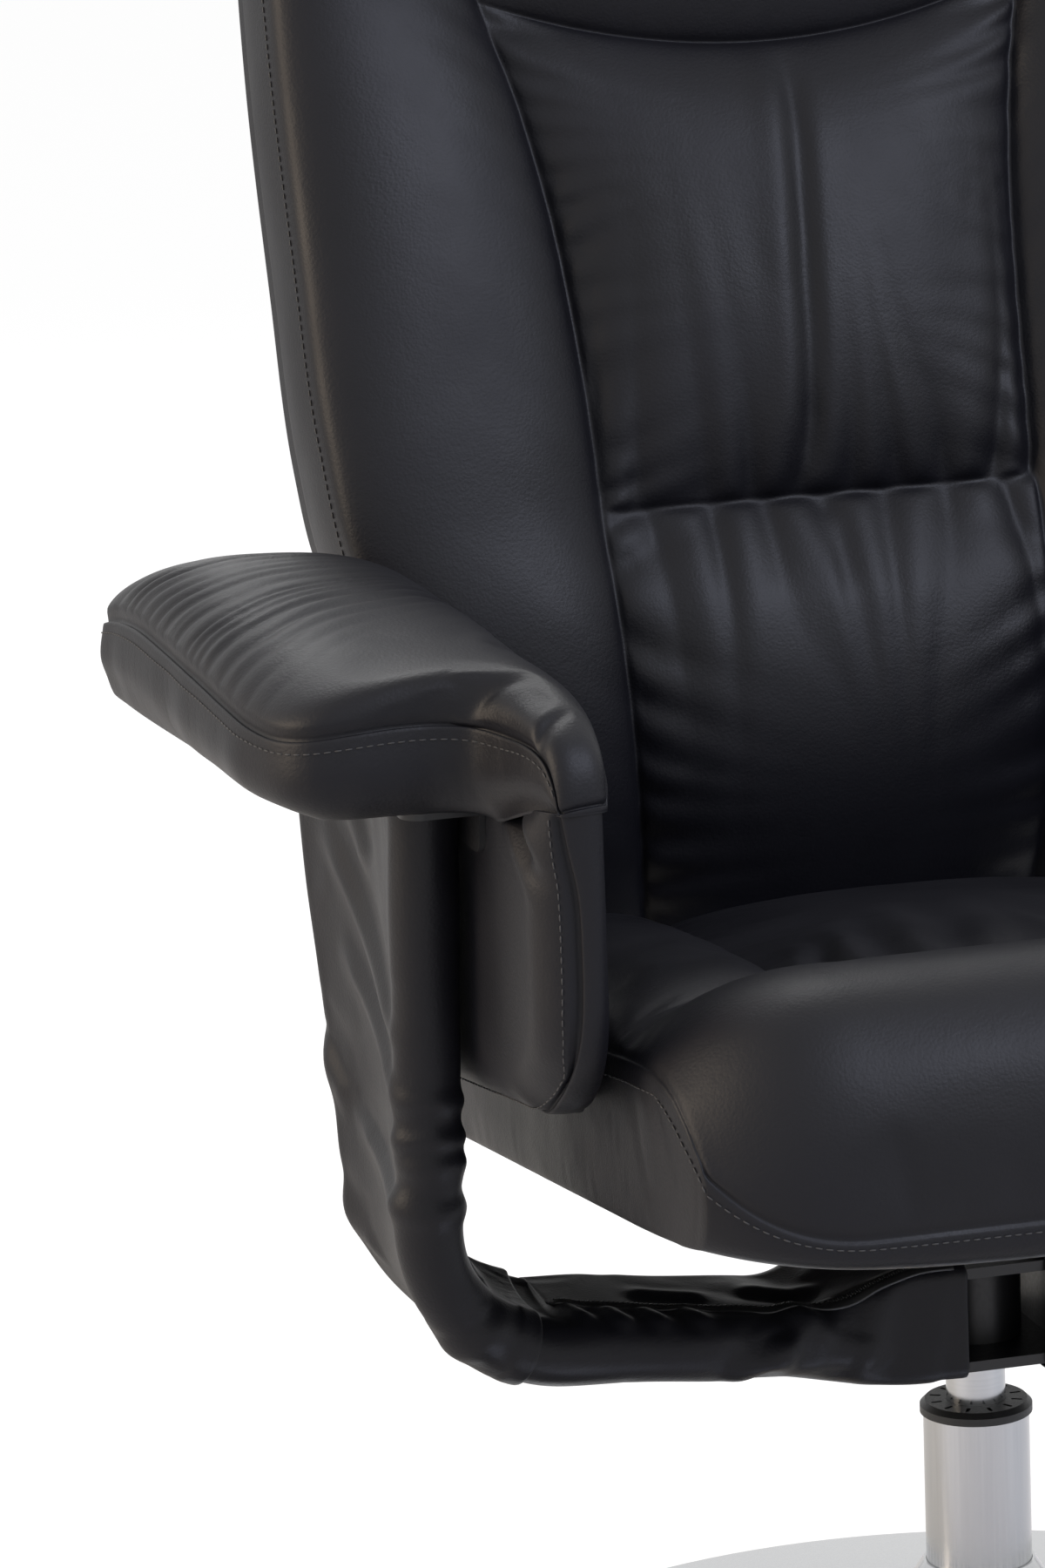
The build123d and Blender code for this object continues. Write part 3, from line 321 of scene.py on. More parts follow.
def gathers(at, pitch, seed):
    # rounded ridges between sharp valleys, unevenly spaced
    at = at + 0.5 * pitch * ripple(at, 2.3 * pitch, seed)
    ridge = np.abs(np.sin(math.pi * at / pitch)) - meanRidge
    return ridge * (0.65 + 0.35 * ripple(at, 1.7 * pitch, seed + 1))


def offSeam(distance, reach, held):
    # nothing on the seam itself, strongest just beside it, gone past its reach
    return np.exp(-distance / reach) * (1 - np.exp(-distance / held))


def crease(off, width, lip, beside, sharp=1.0):
    # one narrow bend in the cover, with its counter-bend beside it
    return np.exp(-(off / width) ** 2) - lip * np.exp(-((off - beside * width) / (sharp * width)) ** 2)


def alongLine(x, y, start, end):
    # share along a straight line, and distance to one side of it
    run = np.array([end[0] - start[0], end[1] - start[1]])
    share = ((x - start[0]) * run[0] + (y - start[1]) * run[1]) / (run @ run)
    return share, ((x - start[0]) * run[1] - (y - start[1]) * run[0]) / np.linalg.norm(run)


def gridFaces(rows, cols, wrap=False, start=0):
    faces = []
    for r in range(rows - 1):
        for c in range(cols if wrap else cols - 1):
            d = (c + 1) % cols
            faces.append((start + r * cols + c, start + r * cols + d,
                          start + (r + 1) * cols + d, start + (r + 1) * cols + c))
    return faces


def gridEdge(rows, cols):
    # indices round the edge of a grid
    return ([c for c in range(cols)] + [r * cols + cols - 1 for r in range(1, rows)]
            + [(rows - 1) * cols + c for c in range(cols - 2, -1, -1)]
            + [r * cols for r in range(rows - 2, 0, -1)])


def boxedPad(name, top, loops, material, underGrid=None):
    # a sewn top over a boxing band made of loops, closed below
    rows, cols = top.shape[:2]
    points = [top.reshape(-1, 3)]
    faces = gridFaces(rows, cols)
    edge = gridEdge(rows, cols)
    rings = [edge]
    count = rows * cols
    for loop in loops:
        rings.append(list(range(count, count + len(loop))))
        points.append(loop)
        count += len(loop)
    if underGrid is not None:
        rings.append([count + i for i in edge])
        points.append(underGrid.reshape(-1, 3))
    for ring, below in zip(rings, rings[1:]):
        faces += list(zip(ring, ring[1:] + ring[:1], below[1:] + below[:1], below))
    if underGrid is not None:
        faces += gridFaces(rows, cols, start=count)
    return makePiece(name, np.concatenate(points), faces, material)


def sewnEdges(piece, rows, cols):
    # weights that pin all but the inside of the top sheet
    sewn = np.ones(len(piece.data.vertices))
    sewn[:rows * cols].reshape(rows, cols)[1:-1, 1:-1] = 0
    return sewn


hide = {
    "quality": 4, "mass": 0.3, "stretch": 60, "shear": 30, "damping": 12, "bendDamping": 1.0, "air": 4.0,
    "bandPin": 0.6,
}


def fillWithFoam(piece, sewn, cloth):
    # pressure from inside, held at the seams, with some ease in the cover
    start = readPoints(piece)
    group = piece.vertex_groups.new(name="sewn")
    for index in np.nonzero(sewn > 0.01)[0]:
        group.add([int(index)], float(sewn[index]), "REPLACE")
    pick(piece)
    modifier = piece.modifiers.new("fill", "CLOTH")
    cover = modifier.settings
    cover.quality = hide["quality"]
    cover.mass = hide["mass"]
    cover.tension_stiffness = cover.compression_stiffness = hide["stretch"]
    cover.shear_stiffness = hide["shear"]
    cover.bending_stiffness = cloth["bending"]
    cover.tension_damping = cover.compression_damping = cover.shear_damping = hide["damping"]
    cover.bending_damping = hide["bendDamping"]
    cover.air_damping = hide["air"]
    cover.use_pressure = True
    cover.uniform_pressure_force = cloth["pressure"]
    cover.shrink_min = -cloth["ease"]
    cover.vertex_group_mass = "sewn"
    cover.pin_stiffness = 1.0
    cover.effector_weights.gravity = 0.0
    modifier.point_cache.frame_start = 1
    modifier.point_cache.frame_end = cloth["frames"]
    for number in range(1, cloth["frames"] + 1):
        scene.frame_set(number)
    ready = piece.evaluated_get(bpy.context.evaluated_depsgraph_get())
    flat = np.zeros(len(piece.data.vertices) * 3)
    ready.data.vertices.foreach_get("co", flat)
    moved = flat.reshape(-1, 3) / mm - start
    length = np.linalg.norm(moved, axis=1, keepdims=True)
    cap = cloth["cap"]
    moved *= np.where(length > 1e-9, cap * np.tanh(length / cap) / np.maximum(length, 1e-9), 0)
    piece.modifiers.remove(modifier)
    piece.vertex_groups.clear()
    writePoints(piece, start + moved)
    scene.frame_set(1)
    print("  filled", piece.name, "largest move", round(float(length.max()), 1), "mm")


otherSide = [-1, 1, 1]


def mirrorPiece(piece, name):
    points = readPoints(piece) * otherSide
    faces = [tuple(reversed(p.vertices)) for p in piece.data.polygons]
    return makePiece(name, points, faces, piece.data.materials[0])


def leftAndRight(piece, name, replaced):
    # the left-hand piece and its mirror image, ready to ride
    right = mirrorPiece(piece, name + "Right")
    for side, cover in (("left", piece), ("right", right)):
        finishPiece(cover, "swivel", [f"{replaced}_{side}"])


def lineOn(piece, at):
    # points and normals of a piece at given vertices
    at = list(at)
    return readPoints(piece)[at], readNormals(piece)[at]


stitch = {
    "length": 3.1, "gap": 1.5, "width": 0.75, "lift": 0.2, "sides": 6,
    # place along the stitch, thickness, rise
    "form": [(0.0, 0.25, -0.35), (0.12, 0.85, 0.15), (0.5, 1.0, 0.35), (0.88, 0.85, 0.15),
             (1.0, 0.25, -0.35)],
}


def stitchRow(name, lines, body):
    # separate stitches laid along lines of (points, normals)
    points, faces = [], []
    sides, pitch = stitch["sides"], stitch["length"] + stitch["gap"]
    places, size, rise = np.array(stitch["form"]).T
    size = size * stitch["width"] / 2
    rise = rise * stitch["width"] / 2 + stitch["lift"]
    for line, normals in lines:
        length = runLength(line)
        for begin in np.arange(int(length[-1] // pitch)) * pitch:
            at = begin + stitch["length"] * places
            centre, up = sample(line, length, at), unit(sample(normals, length, at))
            side = np.cross(unit(centre[-1] - centre[0]), up)
            base = len(points)
            for i in range(len(places)):
                for a in np.arange(sides) * 2 * math.pi / sides:
                    off = up[i] * (rise[i] + size[i] * math.sin(a)) + side[i] * size[i] * math.cos(a)
                    points.append(centre[i] + off)
            last = base + (len(places) - 1) * sides
            faces += gridFaces(len(places), sides, wrap=True, start=base)
            faces += [tuple(range(base, base + sides)), tuple(range(last, last + sides))]
    row = makePiece(name, np.array(points), faces, threadGrey)
    finishPiece(row, body, [], levels=0)


def stitchBothSides(name, line, normals):
    stitchRow(name, [(line, normals), (line * otherSide, normals * otherSide)], "swivel")


# back

back = {
    "y": 239.0, "z": 300.0, "bendZ": 528.0, "lean": math.radians(20), "bendR": 400.0, "top": 706.0,
    "lumbarSeam": 262.0, "headSeam": 513.0, "headSag": 29.0,
    "half": [(0, 184), (28, 196), (85, 208), (180, 216), (225, 231), (262, 241), (300, 245), (390, 246),
             (500, 245), (560, 242), (620, 236), (680, 224), (706, 212)],
    "outerSeam": [(0, 12), (28, 26), (85, 44), (180, 62), (262, 63), (390, 60), (500, 58), (620, 52),
                  (706, 46)],
    "inner": [(0, 90), (85, 101), (180, 108), (262, 111), (326, 112), (363, 114), (399, 117), (442, 123),
              (464, 127), (488, 133), (513, 139), (560, 145), (620, 144), (706, 130)],
    "innerSeam": [(0, 22), (28, 34), (85, 54), (160, 68), (215, 63), (262, 51), (300, 51), (390, 50),
                  (470, 47), (513, 45), (560, 52), (640, 52), (706, 46)],
    "wing": [(0, 4), (28, 7), (85, 13), (180, 16), (262, 18), (390, 20), (500, 20), (640, 16), (706, 10)],
    # from, to, crown
    "panels": [(-60.0, 262.0, 19.0), (262.0, 513.0, 25.0), (513.0, 760.0, 24.0)],
    "pinch": [(262, -7), (484, 9)], "pinchDepth": 4.8, "pinchWidth": 4.6, "overTop": 634.0, "behind": -6.0,
    # gathers: height, pitch, reach, held
    "sideGathers": (7.5, 21, 21, 3), "wingGathers": (1.6, 26, 26, 4),
    "cloth": {"pressure": 2.4, "ease": 0.012, "frames": 20, "cap": 7.0, "bending": 6.0}, "fill": 0.7,
}


def backPoint(x, along, depth):
    # across, up along the board and forward from it
    upright = back["bendZ"] - back["bendR"] * math.tan(back["lean"] / 2) - back["z"]
    angle = np.clip((along - upright) / back["bendR"], 0, back["lean"])
    beyond = np.maximum(along - upright - back["bendR"] * back["lean"], 0)
    y = back["y"] + back["bendR"] * (1 - np.cos(angle)) + beyond * np.sin(angle)
    z = back["z"] + np.minimum(along, upright) + back["bendR"] * np.sin(angle) + beyond * np.cos(angle)
    return np.stack(np.broadcast_arrays(x, y - depth * np.cos(angle), z + depth * np.sin(angle)), axis=-1)


def seamRows(first, last, seams, coarse, fine):
    # places from first to last, closer together at the seams
    rows = [first]
    while rows[-1] < last - 0.01:
        near = min(abs(rows[-1] - s) for s in seams)
        rows.append(min(rows[-1] + min(coarse, max(fine, fine + 0.16 * near)), last))
        for s in seams:
            if rows[-2] < s < rows[-1] or abs(rows[-1] - s) < 0.6:
                rows[-1] = s
    return np.array(rows)


def backCushion():
    along = seamRows(6.0, back["top"], [back["lumbarSeam"], back["headSeam"]], 5.2, 1.8)
    wingShares = closeSpaced(28)
    midShares = closeSpaced(66) * 2 - 1
    boxShares = np.linspace(0, 1, 9)
    sheet = []
    for a in along:
        half, outer = follow(back["half"], a), follow(back["outerSeam"], a)
        inner, seam, wing = (follow(back[k], a) for k in ("inner", "innerSeam", "wing"))
        over = math.sqrt(max(1 - (max(a - back["overTop"], 0) / (back["top"] - back["overTop"])) ** 2.2, 0))
        start, end, crown = next(v for v in back["panels"] if v[0] <= a <= v[1])
        share = (a - start) / (end - start)
        swell = crown * (1 - abs(2 * share - 1) ** 2.6) ** 0.62
        wingX = half + (inner - half) * wingShares
        wingD = outer + (seam - outer) * wingShares + wing * (1 - np.abs(2 * wingShares - 1) ** 2.3) ** 0.62
        midX = inner * midShares
        midD = seam + swell * (1 - np.abs(midShares) ** 2.6) ** 0.62
        fold = follow(back["pinch"], a)
        fade = np.clip((a - back["lumbarSeam"] - 6) / 26, 0, 1) * np.clip((back["headSeam"] - a) / 40, 0, 1)
        gap = (midX - fold) / back["pinchWidth"]
        midD = midD - fade * back["pinchDepth"] * crease(gap, 1.0, 0.3, -2.6, 1.8)
        bell = math.exp(-((a - back["headSeam"]) / 75) ** 2)
        rise = a - back["headSag"] * bell * (1 - midShares**2)
        boxD = back["behind"] + (outer - back["behind"]) * boxShares[:-1]
        boxX, boxUp, wingUp = half + 0 * boxD, a + 0 * boxD, a + 0 * wingX
        x = np.concatenate([-boxX, -wingX, midX[1:-1], wingX[::-1], boxX])
        d = np.concatenate([boxD, wingD, midD[1:-1], wingD[::-1], boxD[::-1]])
        up = np.concatenate([boxUp, wingUp, rise[1:-1], wingUp, boxUp])
        d = np.where(d > back["behind"], back["behind"] + (d - back["behind"]) * over, d)
        belly = 2.5 * np.sin(math.pi * np.clip(d / max(outer, 1), 0, 1))
        x = x + np.sign(x) * belly * (np.abs(np.abs(x) - half) < 0.01)
        sheet.append(backPoint(x, up, d))
    sheet = np.array(sheet)
    rows, cols = sheet.shape[:2]
    boxed, winged, mids = len(boxShares) - 1, len(wingShares), len(midShares) - 2
    outerCols = [boxed, cols - 1 - boxed]
    innerCols = [boxed + winged - 1, boxed + winged + mids]
    lumbarRow = int(np.argmin(np.abs(along - back["lumbarSeam"])))
    headRow = int(np.argmin(np.abs(along - back["headSeam"])))
    # uneven gathers that run off the seams
    normal = backPoint(0.0, along, 1.0) - backPoint(0.0, along, 0.0)
    push = np.zeros((rows, cols))
    a2 = along[:, None] + np.zeros((1, cols))
    x2 = sheet[:, :, 0]
    mid = np.zeros(cols, bool)
    mid[innerCols[0] + 1:innerCols[1]] = True
    edgeX = np.abs(sheet[:, innerCols[1], 0])[:, None]
    toSide = np.clip(edgeX - np.abs(x2), 0, None)
    lean = a2 + 0.45 * toSide * ripple(a2, 40, 3)
    height, pitch, reach, held = back["sideGathers"]
    push += mid * height * gathers(lean + 500 * (x2 > 0), pitch, 4) * offSeam(toSide, reach, held)
    for row, reach, size, seed in ((lumbarRow, 42, 9.0, 5), (headRow, 18, 1.4, 6)):
        gap = np.abs(a2 - along[row])
        above = a2 > along[row]
        off = x2 + 0.35 * gap * ripple(x2, 45, seed)
        wave = np.where(above, gathers(off, 21, seed + 20), 0.85 * gathers(off, 29, seed + 30))
        push += mid * size * wave * offSeam(gap, reach, held)
    wingCols = ~mid
    wingCols[:boxed + 1] = wingCols[cols - boxed - 1:] = False
    fromSide = np.clip(np.abs(x2) - edgeX, 0, None)
    lean = a2 - 0.7 * fromSide
    height, pitch, reach, held = back["wingGathers"]
    push += wingCols * height * gathers(lean + 700 * (x2 > 0), pitch, 8) * offSeam(fromSide, reach, held)
    sheet += push[:, :, None] * normal[:, None, :]
    # rear of the cover, flat on the board
    points = sheet.reshape(-1, 3)
    faces = gridFaces(rows, cols)
    for r in range(0, (rows - 1) * cols, cols):
        faces.append((r + cols - 1, r, r + cols, r + 2 * cols - 1))
    piece = makePiece("backCover", points, faces, blackLeather)
    sewn = np.zeros((rows, cols))
    for c in outerCols + innerCols + [0, cols - 1]:
        sewn[:, c] = 1
    sewn[lumbarRow, innerCols[0]:innerCols[1]] = 1
    sewn[headRow, innerCols[0]:innerCols[1]] = 1
    sewn[:2] = sewn[-2:] = 1
    sewn[:, :3] = sewn[:, -3:] = 1
    fillWithFoam(piece, sewn.ravel(), back["cloth"])
    now, normals = readPoints(piece).reshape(rows, cols, 3), readNormals(piece).reshape(rows, cols, 3)
    lines = []
    for c in (outerCols[0] - 1, outerCols[1] + 1):
        lines.append((now[8:-8, c], normals[8:-8, c]))
    finishPiece(piece, "back", ["back_cushion"])
    stitchRow("backStitches", lines, "back")
    print("back cover:", rows, "x", cols)


backCushion()


rear = {
    # distances up the board; the flange rows leave room for the links
    "first": -3.5, "shoulder": 236.5, "boardTop": 697.6, "boardHalf": 234.0, "boardRound": 55.0,
    "lowHalf": 214.0, "flange": (44.0, 141.2), "flangeHalf": 148.6, "lap": 2.5, "step": 0.4,
    # depth of the skin at its edge, foam over the middle, loops round the edge, closing sheet
    "skin": -13.2, "thick": 8.0, "roundOff": 14.0, "loops": (-9.0, -4.5, 0.4), "close": 0.8, "fill": 0.5,
}


def backRear():
    # padded cover behind the board, drawn forward over its edges
    low, high = rear["flange"]
    stops = [rear["first"], low, high, rear["shoulder"], rear["boardTop"] + rear["lap"]]
    along = []
    for i, count in enumerate((10, 18, 18, 82)):
        begin = stops[i] + (rear["step"] if i > 0 else 0)
        end = stops[i + 1] - (rear["step"] if i < 3 else 0)
        along += list(np.linspace(begin, end, count))
    along = np.array(along)
    rows, cols = len(along), 70
    shares = np.sin(np.linspace(-1, 1, cols) * math.pi / 2)
    x2, depth = np.zeros((rows, cols)), np.zeros((rows, cols))
    for r, a in enumerate(along):
        past = np.clip((a - rear["lap"] - rear["boardTop"]) / rear["boardRound"] + 1, 0, 1)
        half = rear["boardHalf"] - rear["boardRound"] * (1 - math.sqrt(1 - past * past)) + rear["lap"]
        half = max(half, float(follow(back["half"], a)) - 0.6) if past == 0 else half
        if a < rear["shoulder"]:
            half = rear["flangeHalf"] if low < a < high else rear["lowHalf"]
        ends = min(1, (a - along[0]) / rear["roundOff"]) * min(1, (along[-1] - a) / rear["roundOff"])
        x2[r] = half * shares
        depth[r] = rear["skin"] - rear["thick"] * (1 - np.abs(shares) ** 6) * ends
    a2 = along[:, None] + 0 * x2
    edge = gridEdge(rows, cols)
    loops = [backPoint(x2.ravel()[edge], a2.ravel()[edge], d) for d in rear["loops"]]
    piece = boxedPad("backRearCover", backPoint(x2, a2, depth), loops, blackLeather,
                     underGrid=backPoint(x2, a2, rear["close"]))
    finishPiece(piece, "back", ["back_rear_pad"])
    print("rear cover:", rows, "x", cols)


backRear()

# seat

seat = {
    "z": 318.0, "tilt": math.radians(7.5), "half": 221.0, "rear": 163.0, "rollSeam": -182.0,
    "inner": [(-260, 139), (-182, 134), (-110, 128), (50, 115), (163, 104)],
    "midTop": [(-182, 86), (-172, 91), (-150, 95), (-60, 98), (50, 95), (120, 91), (150, 86), (163, 80)],
    "seamTop": [(-182, 85), (-160, 86), (-60, 86), (50, 84), (120, 80), (163, 72)],
    "bolster": [(-182, 91), (-165, 95.5), (-110, 98), (50, 96), (120, 92), (150, 87), (163, 79)],
    "side": [(-182, 71), (-60, 70), (163, 65)],
    "roll": [(-182, 87), (-189, 94.5), (-204, 102), (-227, 107), (-246, 107.5), (-264, 103.5), (-279, 95.5),
             (-291, 82), (-299.5, 66), (-304.5, 48), (-306, 34), (-306, 20), (-304.5, 9), (-302, -2)],
    "rollSide": [(-182, 71), (-195, 71.5), (-208, 71.5), (-221, 71), (-233, 70), (-243, 68), (-252, 65),
                 (-260, 61), (-266, 56), (-271, 51), (-275, 46), (-278, 41), (-281, 36), (-283, 30)],
    "rollRows": 40, "rollShoulder": 78,
    # folds of the middle panel, from each side seam: inset, length, depth, width
    "folds": [(23, 130, 8.0, 6.0), (52, 180, 5.6, 8.5), (84, 190, 4.6, 10.5), (116, 160, 4.0, 11.5)],
    "groove": 1.9, "pucker": 2.6,
    # shares of the boxing's height; then the hem below it: inset, share of the rise to its inner edge
    "boxing": (0.0, 0.05, 0.12, 0.22, 0.34, 0.48, 0.62, 0.76, 0.89, 1.0),
    "hem": [(6, 0.0), (14, 0.35), (20, 1.0)], "hemTop": 4.6,
    "cloth": {"pressure": 1.6, "ease": 0.003, "frames": 16, "cap": 4.0, "bending": 25.0}, "fill": 0.75,
}


def seatPoint(u, v, w):
    # across, rearward along the tilted seat and up from it
    c, s = math.cos(seat["tilt"]), math.sin(seat["tilt"])
    u, v, w = np.broadcast_arrays(u, v, w)
    return np.stack([u, v * c + w * s, seat["z"] - v * s + w * c], axis=-1)


def seatCushion():
    flatRows = seamRows(-seat["rear"], -seat["rollSeam"], [-seat["rollSeam"]], 5.2, 2.0)
    bolsterShares, midShares = closeSpaced(22), closeSpaced(64) * 2 - 1
    sheet = []
    for v in -flatRows:
        inner, side = follow(seat["inner"], v), follow(seat["side"], v)
        seam, mid, bolster = (follow(seat[k], v) for k in ("seamTop", "midTop", "bolster"))
        boU = seat["half"] + (inner - seat["half"]) * bolsterShares
        level = side + (seam - side) * bolsterShares
        boW = level + (bolster - (side + seam) / 2) * (1 - np.abs(2 * bolsterShares - 1) ** 2.3) ** 0.6
        miW = seam + (mid - seam) * (1 - np.abs(midShares) ** 2.6) ** 0.6
        u = np.concatenate([-boU, inner * midShares[1:-1], boU[::-1]])
        w = np.concatenate([boW, miW[1:-1], boW[::-1]])
        sheet.append(seatPoint(u, v + 0 * u, w))
    flatCount = len(sheet)
    # the front roll: one panel from side to side, down to the boxing
    shares = np.linspace(0, 1, seat["rollRows"])[1:]
    middle = alongPath(seat["roll"], shares)
    edge = alongPath(seat["rollSide"], shares)
    lastU = u / seat["half"]
    start = w
    out = np.clip((1 - np.abs(lastU)) * seat["half"] / seat["rollShoulder"], 0, 1)
    ease = 1 - (1 - out) ** 2.4
    for i, share in enumerate(shares):
        v = edge[i, 0] + (middle[i, 0] - edge[i, 0]) * ease
        w = edge[i, 1] + (middle[i, 1] - edge[i, 1]) * ease
        keep = max(0, 1 - i / 3.0)
        flatW = edge[i, 1] + start - follow(seat["side"], seat["rollSeam"])
        w = keep * np.minimum(flatW, w + 6) + (1 - keep) * w
        u = lastU * (seat["half"] - 9 * share**2.5 * np.abs(lastU) ** 4)
        sheet.append(seatPoint(u, v, w))
    sheet = np.array(sheet)
    rows, cols = sheet.shape[:2]
    innerCols = [len(bolsterShares) - 1, cols - len(bolsterShares)]
    seamRow = flatCount - 1
    # folds and gathers off the seams of the middle panel
    c, s = math.cos(seat["tilt"]), math.sin(seat["tilt"])
    up = np.array([0, s, c])
    v2 = sheet[:, :, 1] * c - (sheet[:, :, 2] - seat["z"]) * s
    u2 = sheet[:, :, 0]
    flat = (np.arange(rows) < flatCount)[:, None]
    mid = (np.arange(cols) > innerCols[0]) & (np.arange(cols) < innerCols[1])
    edgeU = np.abs(sheet[:, innerCols[1], 0])[:, None]
    toSide = np.clip(edgeU - np.abs(u2), 0, None)
    toRoll = np.clip(v2 - seat["rollSeam"], 0, None)
    held = (1 - np.exp(-toRoll / 6)) * (1 - np.exp(-toSide / 5))
    push = np.zeros((rows, cols))
    rollInner, elsewhere = follow(seat["inner"], seat["rollSeam"]), 999
    for side in (-1, 1):
        spread = 1.0 if side < 0 else 0.92
        for i, (inset, length, depth, width) in enumerate(seat["folds"]):
            drift = inset * spread + 0.14 * toRoll + 4 * ripple(toRoll, 50, 60 + i + side)
            off = np.where(np.sign(u2) == side, np.abs(u2) - (rollInner - drift), elsewhere)
            fade = np.clip(1 - toRoll / length, 0, 1) ** 0.9
            push = push - flat * mid * held * depth * fade * crease(np.abs(off), width, 0.5, 1.9)
    lean = v2 + 0.8 * toSide
    push = push + flat * mid * held * 2.0 * gathers(lean + 400 * (u2 > 0), 26, 11) * np.exp(-toSide / 26)
    outside = np.clip(np.abs(u2) - edgeU, 0, None)
    push = push + flat * ~mid * 0.7 * ripple(v2 - 0.6 * outside, 24, 14) * offSeam(outside, 25, 4)
    sheet = sheet + push[:, :, None] * up
    # short puckers on the roll beside the corner seam
    fromEdge = (seat["half"] - np.abs(u2)) * (~flat)
    corner = np.exp(-((v2 + 232) / 34) ** 2) * (~flat)
    wave = gathers(v2 - 0.5 * fromEdge + 300 * (u2 > 0), 15, 17) + meanRidge
    crimp = seat["pucker"] * 0.8 * corner * wave * offSeam(fromEdge, 22, 3)
    sheet = sheet + crimp[:, :, None] * up
    ringIndex = gridEdge(rows, cols)
    edgeLine = sheet.reshape(-1, 3)[ringIndex].copy()
    v1 = edgeLine[:, 1] * c - (edgeLine[:, 2] - seat["z"]) * s
    w1 = edgeLine[:, 1] * s + (edgeLine[:, 2] - seat["z"]) * c
    u1 = edgeLine[:, 0]
    # boxing: straight down at the sides, a belly that tucks under at the front
    front = easeInOut(np.clip((-v1 - 246) / 32, 0, 1))
    atSide = np.abs(u1) > 200
    corner = np.exp(-((v1 + 240) / 26) ** 2) * atSide
    lowU = u1 + np.clip(-u1, -1.0, 1.0) * (1 - front)
    lowV = v1 + 15 * front
    lowW = -3 - 16 * front * (1 - np.clip(np.abs(u1) / 212, 0, 1) ** 4)
    midV, midW = v1 - 1.5 * front, w1 + (lowW - w1) * (0.55 + 0.4 * front)
    loops = []
    for share in seat["boxing"]:
        swell = math.sin(math.pi * share)
        pleat = seat["pucker"] * gathers(v1 - w1 + 26 * share, 27, 16) * swell * math.exp(-2.2 * share)
        u = u1 + (lowU - u1) * share + np.sign(u1) * (1.2 * swell * (1 - front) + pleat * corner)
        v = (1 - share) ** 2 * v1 + 2 * share * (1 - share) * midV + share**2 * lowV
        w = (1 - share) ** 2 * w1 + 2 * share * (1 - share) * midW + share**2 * lowW
        loops.append(seatPoint(u, v, w))
    for inset, share in seat["hem"]:
        w = lowW + (seat["hemTop"] - lowW) * share
        loops.append(seatPoint(lowU * (1 - inset / 217), lowV * (1 - inset / 260), w))
    # the roll's edge goes down behind the boxing's lip
    groove = seat["groove"]
    sunkU = u1 - np.sign(u1) * atSide * groove * (1 - 0.6 * front)
    sunkW = w1 - 0.4 * groove * (1 - front) + 0.5 * groove * front
    sheet.reshape(-1, 3)[ringIndex] = seatPoint(sunkU, v1 + groove * front, sunkW)
    piece = boxedPad("seatCover", sheet, loops, blackLeather)
    sewn = sewnEdges(piece, rows, cols)
    onSheet = sewn[:rows * cols].reshape(rows, cols)
    onSheet[:flatCount, innerCols] = 1
    onSheet[seamRow] = 1
    onSheet[:2] = 1
    band, ring = rows * cols, len(edgeLine)
    sewn[band + 2 * ring:band + 9 * ring] = hide["bandPin"]
    fillWithFoam(piece, sewn, seat["cloth"])
    # down one side, along the front and up the other, on the boxing
    first = band + 2 * ring + cols - 1
    lines = [lineOn(piece, range(first, first + 2 * rows + cols - 3))]
    finishPiece(piece, "seat", ["seat_cushion"])
    stitchRow("seatStitches", lines, "seat")
    print("seat cover:", rows, "x", cols)


seatCushion()

# arms

arm = {
    # height of the boxing's foot along the arm
    "foot": [(-222, 531), (-204, 530), (-190, 526), (-178, 521.4), (-168, 519), (-158, 518.4),
             (-146, 518.3), (180, 518.3)],
    # seam between top and boxing, from the rear round the outside to the foot of the nose
    "outer": [(322, 171, 543), (346, 173, 546), (360, 170, 549), (366, 157, 553), (366, 128, 559),
              (365.5, 90, 562.5), (365, 40, 562.5), (364, -20, 561), (362.5, -75, 558.5),
              (360, -105, 556.5), (354, -129, 555.5), (343, -143, 556.5), (326, -148, 558.5),
              (306, -149, 560),
              (287, -150.5, 560), (273, -157, 559), (265, -174, 558), (260, -194, 557), (257, -207, 553),
              (255.5, -214, 546), (254.5, -217.5, 538), (254, -219, 531)],
    "inner": [(240, 161, 541), (231, 152, 549), (229, 128, 556), (229, 60, 560), (229, -20, 562),
              (229, -90, 563), (229, -150, 562.5), (229, -180, 560), (230, -198, 555), (231, -210, 547),
              (232, -217, 533)],
    "crown": [(-219, 3), (-212, 7), (-198, 11), (-175, 15), (-150, 18.5), (-110, 22.5), (-60, 26.5),
              (0, 28.5), (50, 28.5), (110, 27), (135, 24), (152, 16.5), (162, 8)],
    "rows": 200, "cols": 52,
    "pitch": 17.0, "gather": 5.6, "groove": 2.8,
    # how far the boxing tucks under along the outside
    "tuckUnder": [(-230, 0.0), (-165, 0.15), (-150, 1.0), (-60, 1.35), (20, 1.0), (110, 0.4), (180, 0.2)],
    # tucks at the nose: start, end, depth, width
    "tucks": [((274, -156), (250, -162), 4.2, 3.0), ((257, -204), (236, -190), 4.0, 3.2)],
    # share of the boxing's height, distance out from the seam
    "boxing": [(0.0, 0.2), (0.06, 0.7), (0.16, 1.2), (0.28, 2.0), (0.42, 2.6), (0.56, 2.4), (0.7, 0.6),
               (0.82, -2.4), (0.92, -6.0), (1.0, -11.0)],
    "cloth": {"pressure": 1.0, "ease": 0.003, "frames": 12, "cap": 2.0, "bending": 20.0}, "fill": 0.7,
}


